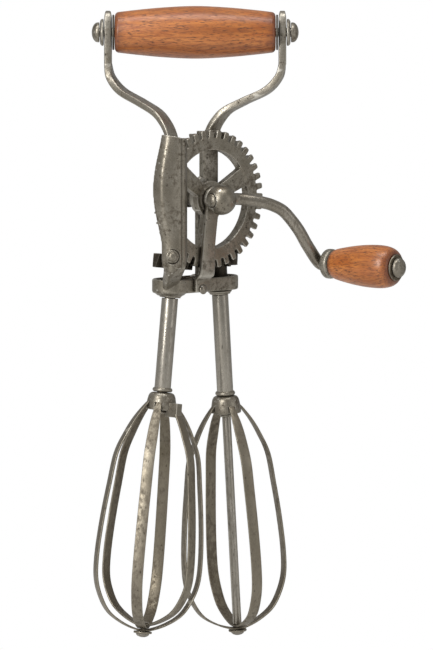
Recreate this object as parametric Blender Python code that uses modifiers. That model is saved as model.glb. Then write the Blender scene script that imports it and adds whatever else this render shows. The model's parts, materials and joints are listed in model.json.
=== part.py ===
# Rotary egg beater: a wooden grip between two flat straps, a hand-cranked toothed wheel,
# and two bowed whisks, each on its own shaft with a ten-tooth pinion behind the wheel.
# Metres, +Z up. X runs along the grip and the origin is the grip's middle.
# The gear frame is turned about Z, so that its own X runs along the bridge and its -Y is the crank side.

import bpy
import bmesh
from math import acos, asin, atan2, cos, pi, radians, sin, sqrt, tan
from mathutils import Matrix, Vector

# Fits
gap = 0.0003
overrun = 0.003
mergeDistance = 0.00001

# Grip and its through rod
gripLength = 0.080
gripEndRadius = 0.0099
gripMidRadius = 0.0131
gripEdge = 0.0012
gripRodRadius = 0.0022
innerWasherRadius = 0.0088
innerWasherThick = 0.0009
outerWasherRadius = 0.0067
outerWasherThick = 0.0018
nutRadius = 0.0050
nutHeight = 0.0038
nutRim = 0.0008

# Straps from the grip to the gear frame
strapThick = 0.0038
strapWidth = 0.0104
strapTop = 0.0108
strapStraight = 0.0154

# Gear frame
frameTurn = radians(42)
wheelDrop = 0.0826
frameTopRise = 0.0286
wheelClearance = 0.0048
bridgeHeight = 0.0072
bridgeLength = 0.0514
bridgeWidth = 0.0186
bridgeWall = 0.0018
bridgeTrough = 0.0034
bridgeEdge = 0.0007
uprightThick = 0.0028
uprightWidth = 0.0086
uprightLowWidth = 0.0070
uprightOffset = 0.0065
uprightLowOffset = 0.0006
uprightFoot = 0.0070
axleBossRadius = 0.0064
armThick = 0.0022
armWidth = 0.0082
armLean = 0.0056
armFootDrop = 0.0066

# Shield
shieldWall = 0.0018
shieldTopRise = 0.0336
shieldTopSlope = 0.0031
shieldFootRise = 0.0060
shieldLeft = 0.0343
shieldBulge = 0.0036
shieldRight = 0.0204
shieldRidge = 0.0276
shieldDepth = 0.0076
shieldSideDepth = 0.0052
shieldBack = 0.0009
channelStrapOffset = 0.0280
channelStrapWidth = 0.0068
channelStrapThick = 0.0026
channelStrapRise = 0.0087
neckTopRise = 0.0078
neckWidth = 0.0084
neckDepth = 0.0050
shieldScrewRise = 0.0123
shieldScrewRadius = 0.0036
shieldScrewHeight = 0.0020
smallShankRadius = 0.0014

# Wheel, axle and crank
toothCount = 40
wheelTip = 0.0346
wheelFrontRoot = 0.0304
wheelBackRoot = 0.0288
wheelRimInner = 0.0246
wheelThick = 0.0050
wheelBack = 0.0074
wheelHubRadius = 0.0070
wheelHubBack = 0.0017
wheelWindowInner = 0.0092
wheelWebFront = 0.0011
wheelWebBack = 0.0009
spokeCount = 3
spokeAngle = radians(25)
spokeHubWidth = 0.0056
spokeRimWidth = 0.0090
frontTipAngle = radians(1.55)
frontRootAngle = radians(2.9)
backTipAngle = radians(0.9)
backRootAngle = radians(1.5)
axleRadius = 0.0026
axleHeadRadius = 0.0043
axleHeadHeight = 0.0021
spoolFlangeRadius = 0.0050
spoolRadius = 0.0041
spoolFlange = 0.0016
spoolLength = 0.0082
hubBallRadius = 0.0075
hubBallFlat = 0.0041
hubPinRadius = 0.0034
hubPinHeight = 0.0022
crankRodRadius = 0.0030
crankReach = 0.0523
crankDrop = 0.0333
crankLean = 0.0204
crankBendRadius = 0.0044

# Knob
knobSplay = radians(12)
ferruleRadius = 0.00745
ferruleLength = 0.0050
ferruleEdge = 0.0006
knobLength = 0.0365
knobStartRadius = 0.0069
knobMaxRadius = 0.01075
knobEndRadius = 0.0070
knobWasherRadius = 0.0066
knobWasherThick = 0.0009
knobNutRadius = 0.0050
knobNutHeight = 0.0034

# Pinions, shafts and bushes
pinionTeeth = 10
pinionPitch = 0.0087
pinionAddendum = 0.0013
pinionDedendum = 0.0018
pinionFace = 0.0070
pinionTopRise = 0.0153
pinionEngaged = 0.0040
pinionToothThick = 0.0020
pinionTipThick = 0.0010
pinionRootThick = 0.0027
pinionHubRadius = 0.00425
pinionHubBottom = 0.0023
shaftSpread = 0.0162
shaftTopRise = 0.0172
shaftNeckRadius = 0.0026
shaftRadius = 0.0041
thrustWasherRadius = 0.0052
thrustWasherThick = 0.0007
bushRise = 0.0010
bushRadius = 0.0037
bushFlangeRadius = 0.0060
bushFlangeThick = 0.0018
bushFlangeSeat = 0.0006

# Cones and whisks
ringRadius = 0.0050
ringHeight = 0.0020
coneTopRadius = 0.0061
coneMidRadius = 0.0071
coneBottomRadius = 0.0075
coneHeight = 0.0088
coneTenon = 0.0053
bladeWidth = 0.0056
bladeTangWidth = 0.0027
bladeThick = 0.0009
bladeSpan = 0.02745
bladeDrop = 0.1100
bladeTangDepth = 0.0072
bladeTangRadius = 0.0055
bladeStep = 0.0013
slotWidth = 0.0040
slotInner = 0.0049
collarRadius = 0.0035
collarHeight = 0.0016
centreRodRadius = 0.0022
rivetShankRadius = 0.0013
rivetHeadRadius = 0.0034
rivetHeadHeight = 0.0018
rivetWasherRadius = 0.0046
rivetWasherThick = 0.0010

# Side tables: lean of the shaft from upright, drop from the bridge floor to the ring above the cone,
# and the loops' directions about the shaft
sideSign = {"left": -1, "right": 1}
shaftLean = {"left": radians(6.3), "right": radians(4.0)}
ringDrop = {"left": 0.0512, "right": 0.0556}
loopAngles = {"left": [radians(-22), radians(38), radians(98)], "right": [radians(-18), radians(72)]}

# Outlines as shares, chosen by hand
strapBendShares = [(1.0, 0.0), (0.955, 0.175), (0.785, 0.35), (0.475, 0.49),
                   (0.235, 0.61), (0.1, 0.75), (0.03, 0.88), (0.0, 1.0)]
strapRoundShares = [(0.0, 0.34), (0.06, 0.6), (0.2, 0.82), (0.5, 0.97), (1.0, 1.0)]
crankShares = [(0.2, 0.0, 0.0), (0.32, 0.19, 0.024), (0.42, 0.34, 0.06), (0.505, 0.44, 0.105),
               (0.6, 0.54, 0.19), (0.68, 0.63, 0.335), (0.755, 0.71, 0.505), (0.835, 0.78, 0.725)]
bladeShares = [(-0.009, 0.335, 0.3), (0.045, 0.488, 0.72), (0.113, 0.634, 0.94), (0.208, 0.79, 1.0),
               (0.342, 0.872, 1.0), (0.5, 0.952, 1.0), (0.66, 1.0, 1.0), (0.775, 0.982, 1.0),
               (0.862, 0.864, 1.0), (0.928, 0.685, 0.97), (0.973, 0.41, 0.93), (0.998, 0.14, 0.9)]
gripShares = [(0.0, 0.0), (0.12, 0.36), (0.3, 0.78), (0.5, 1.0)]
knobShares = [(0.0, 0.0), (0.05, 0.2), (0.16, 0.43), (0.32, 0.7), (0.5, 0.91), (0.68, 1.0),
              (0.82, 0.95), (0.92, 0.73), (0.975, 0.4), (1.0, 0.0)]

for old in list(bpy.data.objects):
    bpy.data.objects.remove(old, do_unlink=True)

partsCollection = bpy.data.collections.new("rotary_egg_beater")
cuttersCollection = bpy.data.collections.new("cutters")
for collection in (partsCollection, cuttersCollection):
    bpy.context.scene.collection.children.link(collection)


def makeMaterial(name, color, roughness, metallic):
    material = bpy.data.materials.new(name)
    material.use_nodes = True
    shader = material.node_tree.nodes["Principled BSDF"]
    shader.inputs["Base Color"].default_value = (*color, 1.0)
    shader.inputs["Roughness"].default_value = roughness
    shader.inputs["Metallic"].default_value = metallic
    return material


wood = makeMaterial("varnished_wood", (0.36, 0.13, 0.035), 0.35, 0.0)
castMetal = makeMaterial("cast_metal", (0.40, 0.38, 0.34), 0.42, 0.9)
steel = makeMaterial("tinned_steel", (0.34, 0.32, 0.28), 0.38, 0.95)
darkSteel = makeMaterial("blade_steel", (0.20, 0.18, 0.145), 0.42, 0.9)


def addPart(name, data, material, parent=None, place=None):
    """One named sub-part, linked to the parts' collection."""
    part = bpy.data.objects.new(name, data)
    partsCollection.objects.link(part)
    data.materials.append(material)
    part.parent = parent
    if place:
        part.matrix_local = place
    return part


def addCutter(name, data, parent=None, place=None):
    cutter = bpy.data.objects.new(name, data)
    cuttersCollection.objects.link(cutter)
    cutter.hide_render = True
    cutter.display_type = "WIRE"
    cutter.parent = parent
    if place:
        cutter.matrix_local = place
    return cutter


def addEmpty(name, parent, place):
    empty = bpy.data.objects.new(name, None)
    partsCollection.objects.link(empty)
    empty.parent = parent
    empty.matrix_local = place
    return empty


def combine(part, tool, operation="DIFFERENCE"):
    boolean = part.modifiers.new(tool.name, "BOOLEAN")
    boolean.operation = operation
    boolean.solver = "EXACT"
    boolean.object = tool


def softenEdges(part, width, limit=radians(50)):
    bevel = part.modifiers.new("soft_edges", "BEVEL")
    bevel.width = width
    bevel.segments = 1
    bevel.limit_method = "ANGLE"
    bevel.angle_limit = limit


def cylinderMesh(name, radius, bottom, top, sides=18):
    """A cylinder on its own Z from bottom to top."""
    shape = bmesh.new()
    middle = Matrix.Translation((0, 0, (bottom + top) / 2))
    bmesh.ops.create_cone(shape, cap_ends=True, segments=sides, radius1=radius, radius2=radius,
                          depth=top - bottom, matrix=middle)
    mesh = bpy.data.meshes.new(name)
    shape.to_mesh(mesh)
    shape.free()
    return mesh


def boxMesh(name, low, high):
    shape = bmesh.new()
    bmesh.ops.create_cube(shape, size=1)
    for vert in shape.verts:
        vert.co = Vector([low[i] + (high[i] - low[i]) * (vert.co[i] + 0.5) for i in range(3)])
    mesh = bpy.data.meshes.new(name)
    shape.to_mesh(mesh)
    shape.free()
    return mesh


def loftMesh(name, rings):
    """A closed solid that is extruded from ring to ring, each with the same count of points."""
    shape = bmesh.new()
    verts = [shape.verts.new(point) for point in rings[0]]
    face = shape.faces.new(verts)
    for ring in rings[1:]:
        passed = face if len(shape.faces) > 1 else None
        grown = bmesh.ops.extrude_face_region(shape, geom=[face])["geom"]
        face = [item for item in grown if isinstance(item, bmesh.types.BMFace)][0]
        if passed and passed.is_valid:
            bmesh.ops.delete(shape, geom=[passed], context="FACES_ONLY")
        fresh = [min(face.verts, key=lambda vert: (vert.co - old.co).length) for old in verts]
        for vert, point in zip(fresh, ring):
            vert.co = point
        verts = fresh
    bmesh.ops.recalc_face_normals(shape, faces=shape.faces)
    mesh = bpy.data.meshes.new(name)
    shape.to_mesh(mesh)
    shape.free()
    return mesh


def turned(name, profile, material, parent=None, place=None, bored=False, steps=18):
    """A turned part about its own Z. The profile of (radius, height) runs down the outer side."""
    shape = bmesh.new()
    verts = [shape.verts.new((radius, 0, height)) for radius, height in profile]
    for first, second in zip(verts, verts[1:]):
        shape.edges.new((first, second))
    if bored:
        shape.edges.new((verts[-1], verts[0]))
    mesh = bpy.data.meshes.new(name)
    shape.to_mesh(mesh)
    shape.free()
    part = addPart(name, mesh, material, parent, place)
    screw = part.modifiers.new("turn", "SCREW")
    screw.axis = "Z"
    screw.steps = steps
    screw.render_steps = steps
    screw.use_merge_vertices = True
    screw.merge_threshold = mergeDistance
    return part


def domeProfile(radius, height, rim, bottom):
    """The outer side of a domed head from its crown down to its flat underside."""
    profile = [(0, bottom + height)]
    for step in range(1, 5):
        angle = step * pi / 8
        profile.append((radius * sin(angle), bottom + rim + (height - rim) * cos(angle)))
    profile.append((radius, bottom))
    return profile


def rodCurve(name, points, radius, material, parent=None, sides=2):
    curve = bpy.data.curves.new(name, "CURVE")
    curve.dimensions = "3D"
    curve.bevel_depth = radius
    curve.bevel_resolution = sides
    curve.use_fill_caps = True
    spline = curve.splines.new("POLY")
    spline.points.add(len(points) - 1)
    for spot, point in zip(spline.points, points):
        spot.co = (*point, 1)
    return addPart(name, curve, material, parent)


def outlineMesh(name, outlines, bottom, top):
    """A flat outline, filled and extruded from bottom to top along Z."""
    curve = bpy.data.curves.new(name + "_outline", "CURVE")
    curve.dimensions = "2D"
    curve.fill_mode = "BOTH"
    curve.extrude = (top - bottom) / 2
    for outline in outlines:
        spline = curve.splines.new("POLY")
        spline.points.add(len(outline) - 1)
        for spot, point in zip(spline.points, outline):
            spot.co = (point[0], point[1], 0, 1)
        spline.use_cyclic_u = True
    holder = bpy.data.objects.new(name + "_outline", curve)
    cuttersCollection.objects.link(holder)
    bpy.context.view_layer.update()
    mesh = bpy.data.meshes.new_from_object(holder.evaluated_get(bpy.context.evaluated_depsgraph_get()))
    bpy.data.objects.remove(holder)
    mesh.name = name
    mesh.transform(Matrix.Translation((0, 0, (bottom + top) / 2)))
    shape = bmesh.new()
    shape.from_mesh(mesh)
    bmesh.ops.remove_doubles(shape, verts=shape.verts, dist=mergeDistance)
    bmesh.ops.recalc_face_normals(shape, faces=shape.faces)
    shape.to_mesh(mesh)
    shape.free()
    return mesh


def arc(centre, radius, start, end, count):
    return [(centre[0] + radius * cos(start + (end - start) * i / count),
             centre[1] + radius * sin(start + (end - start) * i / count)) for i in range(count + 1)]


def rounded(points, reach, count=4):
    """The same path with each inner corner rounded by a short curve."""
    path = [points[0]]
    for before, corner, after in zip(points, points[1:], points[2:]):
        inward = (before - corner).normalized() * min(reach, (before - corner).length * 0.45)
        outward = (after - corner).normalized() * min(reach, (after - corner).length * 0.45)
        for i in range(count + 1):
            share = i / count
            path.append(corner + inward * (1 - share) ** 2 + outward * share ** 2)
    path.append(points[-1])
    return path


def mix(first, second, share):
    return first + (second - first) * share


# Axes of the gear frame
turnFrame = Matrix.Rotation(frameTurn, 4, "Z")
frameEmpty = addEmpty("gear_frame_axes", None, turnFrame)
crankPlace = Matrix.Translation((0, 0, -wheelDrop)) @ Matrix.Rotation(pi / 2, 4, "X")
crankEmpty = addEmpty("crank_axis", frameEmpty, crankPlace)
alongX = Matrix.Rotation(pi / 2, 4, "Y")

# Heights, as drops from the grip's axis: the frame hangs from the wheel's axle
bendEndDrop = wheelDrop - frameTopRise
strapBendDrop = bendEndDrop - strapStraight
bridgeTopDrop = wheelDrop + wheelTip + wheelClearance
shieldTopDrop = wheelDrop - shieldTopRise
shieldBottomDrop = bridgeTopDrop - shieldFootRise
channelStrapEnd = bridgeTopDrop - channelStrapRise
neckTopDrop = bridgeTopDrop - neckTopRise
shieldScrewDrop = bridgeTopDrop - shieldScrewRise

# Places that several pieces share
floorDrop = bridgeTopDrop + bridgeTrough
bridgeBottomDrop = bridgeTopDrop + bridgeHeight
wheelFront = wheelBack + wheelThick
armBack = wheelFront + gap * 1.5
armFront = armBack + armThick
ballBack = armFront + gap
ballCentre = ballBack + hubBallFlat
uprightFront = wheelBack - wheelHubBack - gap
uprightBack = uprightFront - uprightThick
strapPlace = gripLength / 2 + innerWasherThick + gap * 2 + strapThick / 2
bridgeEndCentre = (bridgeLength - bridgeWidth) / 2
channelFront = armBack + gap * 4 + channelStrapThick


def makeGrip():
    half = gripLength / 2
    outer = []
    for share, swell in gripShares:
        outer.append((mix(gripEndRadius, gripMidRadius, swell), half - gripLength * share))
    mirrored = [(radius, -height) for radius, height in reversed(outer[:-1])]
    edge = [(gripEndRadius - gripEdge, half)]
    outer[0] = (gripEndRadius, half - gripEdge)
    mirrored[-1] = (gripEndRadius, gripEdge - half)
    profile = edge + outer + mirrored + [(gripEndRadius - gripEdge, -half)]
    bore = gripRodRadius + gap
    turned("main_grip", profile + [(bore, -half), (bore, half)], wood, None, alongX, True, 30)
    rodEnd = strapPlace + strapThick / 2 + outerWasherThick + gap + nutHeight / 2
    rod = cylinderMesh("grip_rod", gripRodRadius, -rodEnd, rodEnd, 16)
    addPart("grip_rod", rod, steel, None, alongX)
    return rodEnd


def makeGripEnds(rodEnd):
    for side, sign in sideSign.items():
        outward = Matrix.Rotation(sign * pi / 2, 4, "Y")
        start = gripLength / 2 + gap
        bore = gripRodRadius + gap
        profile = [(innerWasherRadius, start + innerWasherThick), (innerWasherRadius, start),
                   (bore, start), (bore, start + innerWasherThick)]
        turned(side + "_inner_washer", profile, darkSteel, None, outward, True)
        start = strapPlace + strapThick / 2 + gap
        soft = outerWasherThick / 3
        profile = [(outerWasherRadius - soft, start + outerWasherThick),
                   (outerWasherRadius, start + outerWasherThick - soft), (outerWasherRadius, start),
                   (bore, start), (bore, start + outerWasherThick)]
        turned(side + "_outer_washer", profile, castMetal, None, outward, True)
        start = start + outerWasherThick + gap
        profile = domeProfile(nutRadius, nutHeight, nutRim, start)
        profile += [(bore, start), (bore, rodEnd + gap), (0, rodEnd + gap)]
        turned(side + "_dome_nut", profile, steel, None, outward)


def strapRing(centre, direction, angle, width, thick):
    """Four corners of a bar's section, square to its run, with its width turned to the angle."""
    across = Vector((cos(angle), sin(angle), 0))
    across = (across - direction * across.dot(direction)).normalized()
    through = direction.cross(across).normalized()
    corners = ((-1, -1), (1, -1), (1, 1), (-1, 1))
    return [centre + across * width / 2 * i + through * thick / 2 * j for i, j in corners]


def frameRing(low, high, back, front, drop):
    """Four corners of a level section in the gear frame: low to high along it, back to front across."""
    corners = [(low, -back), (high, -back), (high, -front), (low, -front)]
    return [turnFrame @ Vector((x, y, -drop)) for x, y in corners]


def strapRings(sign, offset, back, front, width):
    """Sections from the strap's round top to the start of its straight lower run."""
    side = sign * strapPlace
    rings = []
    for share, wide in strapRoundShares:
        centre = Vector((side, 0, strapTop - strapWidth / 2 * share))
        rings.append(strapRing(centre, Vector((0, 0, -1)), pi / 2, strapWidth * wide, strapThick))
    end = turnFrame @ Vector((offset, -(back + front) / 2, -bendEndDrop))
    points = []
    for across, down in strapBendShares:
        height = -strapStraight - strapBendDrop * down
        points.append(Vector((mix(end.x, side, across), mix(end.y, 0, across), height)))
    for i, point in enumerate(points[:-1]):
        before = points[i - 1] if i else point + Vector((0, 0, strapStraight))
        direction = (points[i + 1] - before).normalized()
        down = strapBendShares[i][1]
        angle = mix(pi / 2, frameTurn, down)
        thick = mix(strapThick, front - back, down)
        rings.append(strapRing(point, direction, angle, mix(strapWidth, width, down), thick))
    return rings


def bossEdges(low, high, drop):
    """The low and high edges of an upright where it swells to a boss round the axle."""
    rise = abs(drop - wheelDrop)
    swell = sqrt(max(axleBossRadius ** 2 - rise ** 2, 0))
    return min(low, -swell), max(high, swell)


def makeRightStrap():
    rings = strapRings(1, uprightOffset, uprightBack, uprightFront, uprightWidth)
    bossRises = [axleBossRadius * share for share in (-1, -0.87, -0.5, 0, 0.5, 0.87, 1)]
    drops = [bendEndDrop, wheelDrop - axleBossRadius * 1.4]
    drops += [wheelDrop + rise for rise in bossRises]
    drops += [wheelDrop + axleBossRadius * 1.5, floorDrop - uprightThick / 2]
    for drop in drops:
        lower = min(max((drop - wheelDrop + axleBossRadius) / axleBossRadius / 2, 0), 1)
        centre = mix(uprightOffset, uprightLowOffset, lower)
        half = mix(uprightWidth, uprightLowWidth, lower) / 2
        low, high = bossEdges(centre - half, centre + half, drop)
        rings.append(frameRing(low, high, uprightBack, uprightFront, drop))
    strap = addPart("right_strap", loftMesh("right_strap", rings), castMetal)
    half = uprightLowWidth / 2 + gap
    footTop = -floorDrop + gap + uprightThick
    foot = boxMesh("upright_foot", (uprightLowOffset - half, -uprightFront - gap, -floorDrop + gap),
                   (uprightLowOffset + half, -uprightBack + uprightFoot, footTop))
    combine(strap, addCutter("upright_foot", foot, frameEmpty), "UNION")
    hole = cylinderMesh("upright_axle_hole", axleRadius + gap, uprightBack - overrun, uprightFront + overrun)
    combine(strap, addCutter("upright_axle_hole", hole, crankEmpty))
    return strap


def makeLeftStrap():
    back = channelFront - channelStrapThick
    rings = strapRings(-1, -channelStrapOffset, back, channelFront, channelStrapWidth)
    half = channelStrapWidth / 2
    for drop in (bendEndDrop, channelStrapEnd):
        low = -channelStrapOffset - half
        rings.append(frameRing(low, low + channelStrapWidth, back, channelFront, drop))
    return addPart("left_strap", loftMesh("left_strap", rings), castMetal)


def oblong(halfSpan, radius, count=10):
    right = arc((halfSpan, 0), radius, -pi / 2, pi / 2, count)
    return right + arc((-halfSpan, 0), radius, pi / 2, pi * 1.5, count)


def shieldRing(share):
    """The channel's section at a share of its height: its outer side from the left, then its inner side."""
    left = shieldLeft + shieldBulge * sin(pi * min(share * 1.25, 1)) if share < 0.8 else shieldLeft
    back = wheelFront + shieldBack
    outer = [(-left, back), (-left + shieldWall / 2, back + shieldSideDepth),
             (-shieldRidge, back + shieldDepth), (-shieldRight, back + shieldDepth / 2), (-shieldRight, back)]
    inner = [(-shieldRight - shieldWall, back),
             (-shieldRight - shieldWall, back + shieldDepth / 2 - shieldWall / 2),
             (-shieldRidge, back + shieldDepth - shieldWall),
             (-left + shieldWall * 1.4, back + shieldSideDepth - shieldWall * 0.7),
             (-left + shieldWall, back)]
    drop = mix(shieldTopDrop, shieldBottomDrop, share)
    slope = shieldTopSlope / (shieldLeft - shieldRight) if share == 0 else 0
    return [Vector((x, -y, -drop - slope * (x + shieldLeft))) for x, y in outer + inner]


def makeCasting(whisks):
    """The bridge plate with its trough, and the shield that stands on its left end."""
    outline = oblong(bridgeEndCentre, bridgeWidth / 2)
    mesh = outlineMesh("bridge", [outline], -bridgeBottomDrop, -bridgeTopDrop)
    bridge = addPart("frame_casting", mesh, castMetal, frameEmpty)
    softenEdges(bridge, bridgeEdge)
    trough = outlineMesh("bridge_trough", [oblong(bridgeEndCentre, bridgeWidth / 2 - bridgeWall)],
                         -floorDrop, -bridgeTopDrop + overrun)
    shares = (0, 0.1, 0.22, 0.36, 0.5, 0.66, 0.8, 1)
    shield = addCutter("shield", loftMesh("shield", [shieldRing(share) for share in shares]), frameEmpty)
    back = wheelFront + shieldBack
    endReach = bridgeWidth / 2 - bridgeWall / 2
    facing = Vector((-sin(frameTurn), -cos(frameTurn)))
    seat = Vector((-bridgeEndCentre, 0)) + facing * endReach
    middle = (shieldLeft + shieldRight) / 2
    bendDrop = mix(neckTopDrop, bridgeTopDrop, 0.4)
    stations = [(-middle, -back - shieldDepth / 2, neckTopDrop, 1.15, 0.9),
                (-middle + neckDepth * 0.05, -back - neckDepth * 0.3, bendDrop, 1.0, 1.0),
                (seat.x - neckDepth / 4, seat.y - neckDepth * 0.35, bridgeTopDrop - gap * 2, 1.0, 1.0),
                (seat.x, seat.y, bridgeBottomDrop - bridgeEdge, 0.9, 0.7)]
    rings = []
    for x, y, drop, wide, deep in stations:
        across = neckWidth / 2 * wide
        depth = neckDepth / 2 * deep
        corners = [(x - across, y + depth), (x - across, y - depth),
                   (x + across, y - depth), (x + across, y + depth)]
        rings.append([Vector((cornerX, cornerY, -drop)) for cornerX, cornerY in corners])
    neck = addCutter("shield_neck", loftMesh("shield_neck", rings), frameEmpty)
    combine(bridge, neck, "UNION")
    combine(bridge, shield, "UNION")
    combine(bridge, addCutter("bridge_trough", trough, frameEmpty))
    for side, whisk in whisks.items():
        bore = cylinderMesh(side + "_bush_bore", bushRadius + gap, -bridgeHeight - overrun, overrun)
        combine(bridge, addCutter(side + "_bush_bore", bore, whisk))
        seatTop = -(bridgeHeight - bridgeTrough) - bushFlangeSeat + gap
        face = cylinderMesh(side + "_bush_face", bushFlangeRadius + gap, seatTop - overrun, seatTop)
        combine(bridge, addCutter(side + "_bush_face", face, whisk))
    return bridge


def makeShieldScrew(bridge, strap):
    """The dome screw through the shield and the strap in its channel."""
    top = wheelFront + shieldBack + shieldDepth
    place = Matrix.Translation((-channelStrapOffset, 0, -shieldScrewDrop)) @ Matrix.Rotation(pi / 2, 4, "X")
    tail = channelFront - channelStrapThick - gap * 3
    seat = top - shieldWall / 2
    profile = domeProfile(shieldScrewRadius, shieldScrewHeight, 0, seat)
    profile += [(smallShankRadius, seat), (smallShankRadius, tail), (0, tail)]
    turned("shield_screw", profile, steel, frameEmpty, place)
    bore = cylinderMesh("shield_screw_hole", smallShankRadius + gap, tail - overrun, top + overrun)
    hole = addCutter("shield_screw_hole", bore, frameEmpty, place)
    recess = cylinderMesh("shield_screw_face", shieldScrewRadius + gap, seat - gap, top + overrun)
    face = addCutter("shield_screw_face", recess, frameEmpty, place)
    combine(bridge, hole)
    combine(bridge, face)
    combine(strap, hole)


def makeArm(bridge):
    """The front arm, from its boss on the axle down and back to the bridge's front wall."""
    wallFront = bridgeWidth / 2 + gap
    wheelBottom = wheelDrop + wheelTip
    levels = [(wheelDrop - axleBossRadius * share, armBack) for share in (1, 0.87, 0.5, 0, -0.5, -0.87)]
    levels += [(wheelDrop + axleBossRadius * 1.6, armBack), (wheelBottom + gap * 3, armBack),
               (mix(wheelBottom, bridgeTopDrop, 0.55), mix(armBack, wallFront, 0.45)),
               (bridgeTopDrop + gap * 2, wallFront), (bridgeTopDrop + armFootDrop, wallFront)]
    rings = []
    for drop, back in levels:
        share = min(max((drop - wheelDrop) / (bridgeTopDrop - wheelDrop), 0), 1)
        centre = -armLean * share ** 0.7
        half = armWidth / 2 if drop > wheelDrop else armWidth / 5
        low, high = bossEdges(centre - half, centre + half, drop)
        rings.append([Vector((x, y, -drop)) for x, y in ((low, -back), (high, -back),
                                                        (high, -back - armThick), (low, -back - armThick))])
    arm = addPart("front_arm", loftMesh("front_arm", rings), castMetal, frameEmpty)
    hole = cylinderMesh("arm_axle_hole", axleRadius + gap, armBack - overrun, armFront + overrun)
    combine(arm, addCutter("arm_axle_hole", hole, crankEmpty))
    drop = (floorDrop + bridgeBottomDrop) / 2
    place = Matrix.Translation((-armLean, 0, -drop)) @ Matrix.Rotation(pi / 2, 4, "X")
    seat = wallFront + armThick + gap
    tail = wallFront - bridgeWidth / 4
    profile = domeProfile(hubPinRadius * 0.75, hubPinHeight * 0.7, 0, seat)
    profile += [(smallShankRadius, seat), (smallShankRadius, tail), (0, tail)]
    turned("arm_screw", profile, steel, frameEmpty, place, steps=20)
    bore = cylinderMesh("arm_screw_hole", smallShankRadius + gap, tail - gap, seat + overrun)
    hole = addCutter("arm_screw_hole", bore, frameEmpty, place)
    combine(arm, hole)
    combine(bridge, hole)
    return arm


def makeUprightRivet(bridge, strap):
    """The rivet that holds the rear upright's foot to the bridge floor."""
    place = Matrix.Translation((uprightLowOffset, -uprightBack + uprightFoot / 2, -floorDrop))
    top = uprightThick + gap * 2
    profile = domeProfile(hubPinRadius * 0.7, hubPinHeight * 0.6, 0, top)
    tail = -(bridgeHeight - bridgeTrough) + gap
    profile += [(smallShankRadius, top), (smallShankRadius, tail), (0, tail)]
    turned("upright_rivet", profile, steel, frameEmpty, place, steps=20)
    bore = cylinderMesh("upright_rivet_hole", smallShankRadius + gap, tail - overrun, top + overrun)
    hole = addCutter("upright_rivet_hole", bore, frameEmpty, place)
    combine(strap, hole)
    combine(bridge, hole)


def toothOutline(root, tip, rootAngle, tipAngle, height):
    points = []
    for tooth in range(toothCount):
        middle = 2 * pi * tooth / toothCount - pi / 2
        for radius, angle in ((root, -rootAngle), (tip, -tipAngle), (tip, tipAngle), (root, rootAngle)):
            points.append(Vector((radius * cos(middle + angle), radius * sin(middle + angle), height)))
    return points


def windowOutline(index):
    """One window between two spokes, which widen from the hub to the rim."""
    start = spokeAngle + 2 * pi * index / spokeCount
    end = start + 2 * pi / spokeCount
    hubShare = asin(spokeHubWidth / 2 / wheelWindowInner)
    rimShare = asin(spokeRimWidth / 2 / wheelRimInner)
    outer = arc((0, 0), wheelRimInner, start + rimShare, end - rimShare, 10)
    inner = arc((0, 0), wheelWindowInner, end - hubShare, start + hubShare, 5)
    return outer + inner


def makeWheel():
    """The toothed wheel. Its slots are cut through and deeper at the back, where the pinions enter."""
    rings = [toothOutline(wheelFrontRoot, wheelTip, frontRootAngle, frontTipAngle, wheelFront),
             toothOutline(wheelBackRoot, wheelTip, backRootAngle, backTipAngle, wheelBack)]
    wheel = addPart("drive_wheel", loftMesh("drive_wheel", rings), castMetal, crankEmpty)
    windows = outlineMesh("wheel_windows", [windowOutline(i) for i in range(spokeCount)],
                          wheelBack - overrun, wheelFront + overrun)
    combine(wheel, addCutter("wheel_windows", windows, crankEmpty))
    ring = [arc((0, 0), wheelRimInner, 0, 2 * pi * 31 / 32, 31),
            arc((0, 0), wheelHubRadius, 0, 2 * pi * 23 / 24, 23)]
    front = outlineMesh("wheel_front_recess", ring, wheelFront - wheelWebFront, wheelFront + overrun)
    combine(wheel, addCutter("wheel_front_recess", front, crankEmpty))
    rear = outlineMesh("wheel_back_recess", ring, wheelBack - overrun, wheelBack + wheelWebBack)
    combine(wheel, addCutter("wheel_back_recess", rear, crankEmpty))
    hub = cylinderMesh("wheel_hub", wheelHubRadius, wheelBack - wheelHubBack, wheelBack + overrun, 24)
    combine(wheel, addCutter("wheel_hub", hub, crankEmpty), "UNION")
    bore = cylinderMesh("wheel_bore", axleRadius + gap, uprightFront - overrun, wheelFront + overrun)
    combine(wheel, addCutter("wheel_bore", bore, crankEmpty))
    return wheel


def makeAxle():
    spoolBack = uprightBack - gap - spoolLength
    headTop = spoolBack - gap
    end = ballCentre + axleRadius / 2
    profile = [(0, end), (axleRadius, end), (axleRadius, headTop), (axleHeadRadius, headTop)]
    for share, drop in ((0.95, 0.4), (0.7, 0.8)):
        profile.append((axleHeadRadius * share, headTop - axleHeadHeight * drop))
    profile.append((0, headTop - axleHeadHeight))
    turned("axle", profile, steel, crankEmpty)
    top = uprightBack - gap
    bore = axleRadius + gap
    profile = [(spoolFlangeRadius, top), (spoolFlangeRadius, top - spoolFlange),
               (spoolRadius, top - spoolFlange * 1.4), (spoolRadius, spoolBack + spoolFlange * 1.4),
               (spoolFlangeRadius, spoolBack + spoolFlange),
               (spoolFlangeRadius, spoolBack), (bore, spoolBack), (bore, top)]
    turned("axle_spool", profile, castMetal, crankEmpty, None, True)


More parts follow.
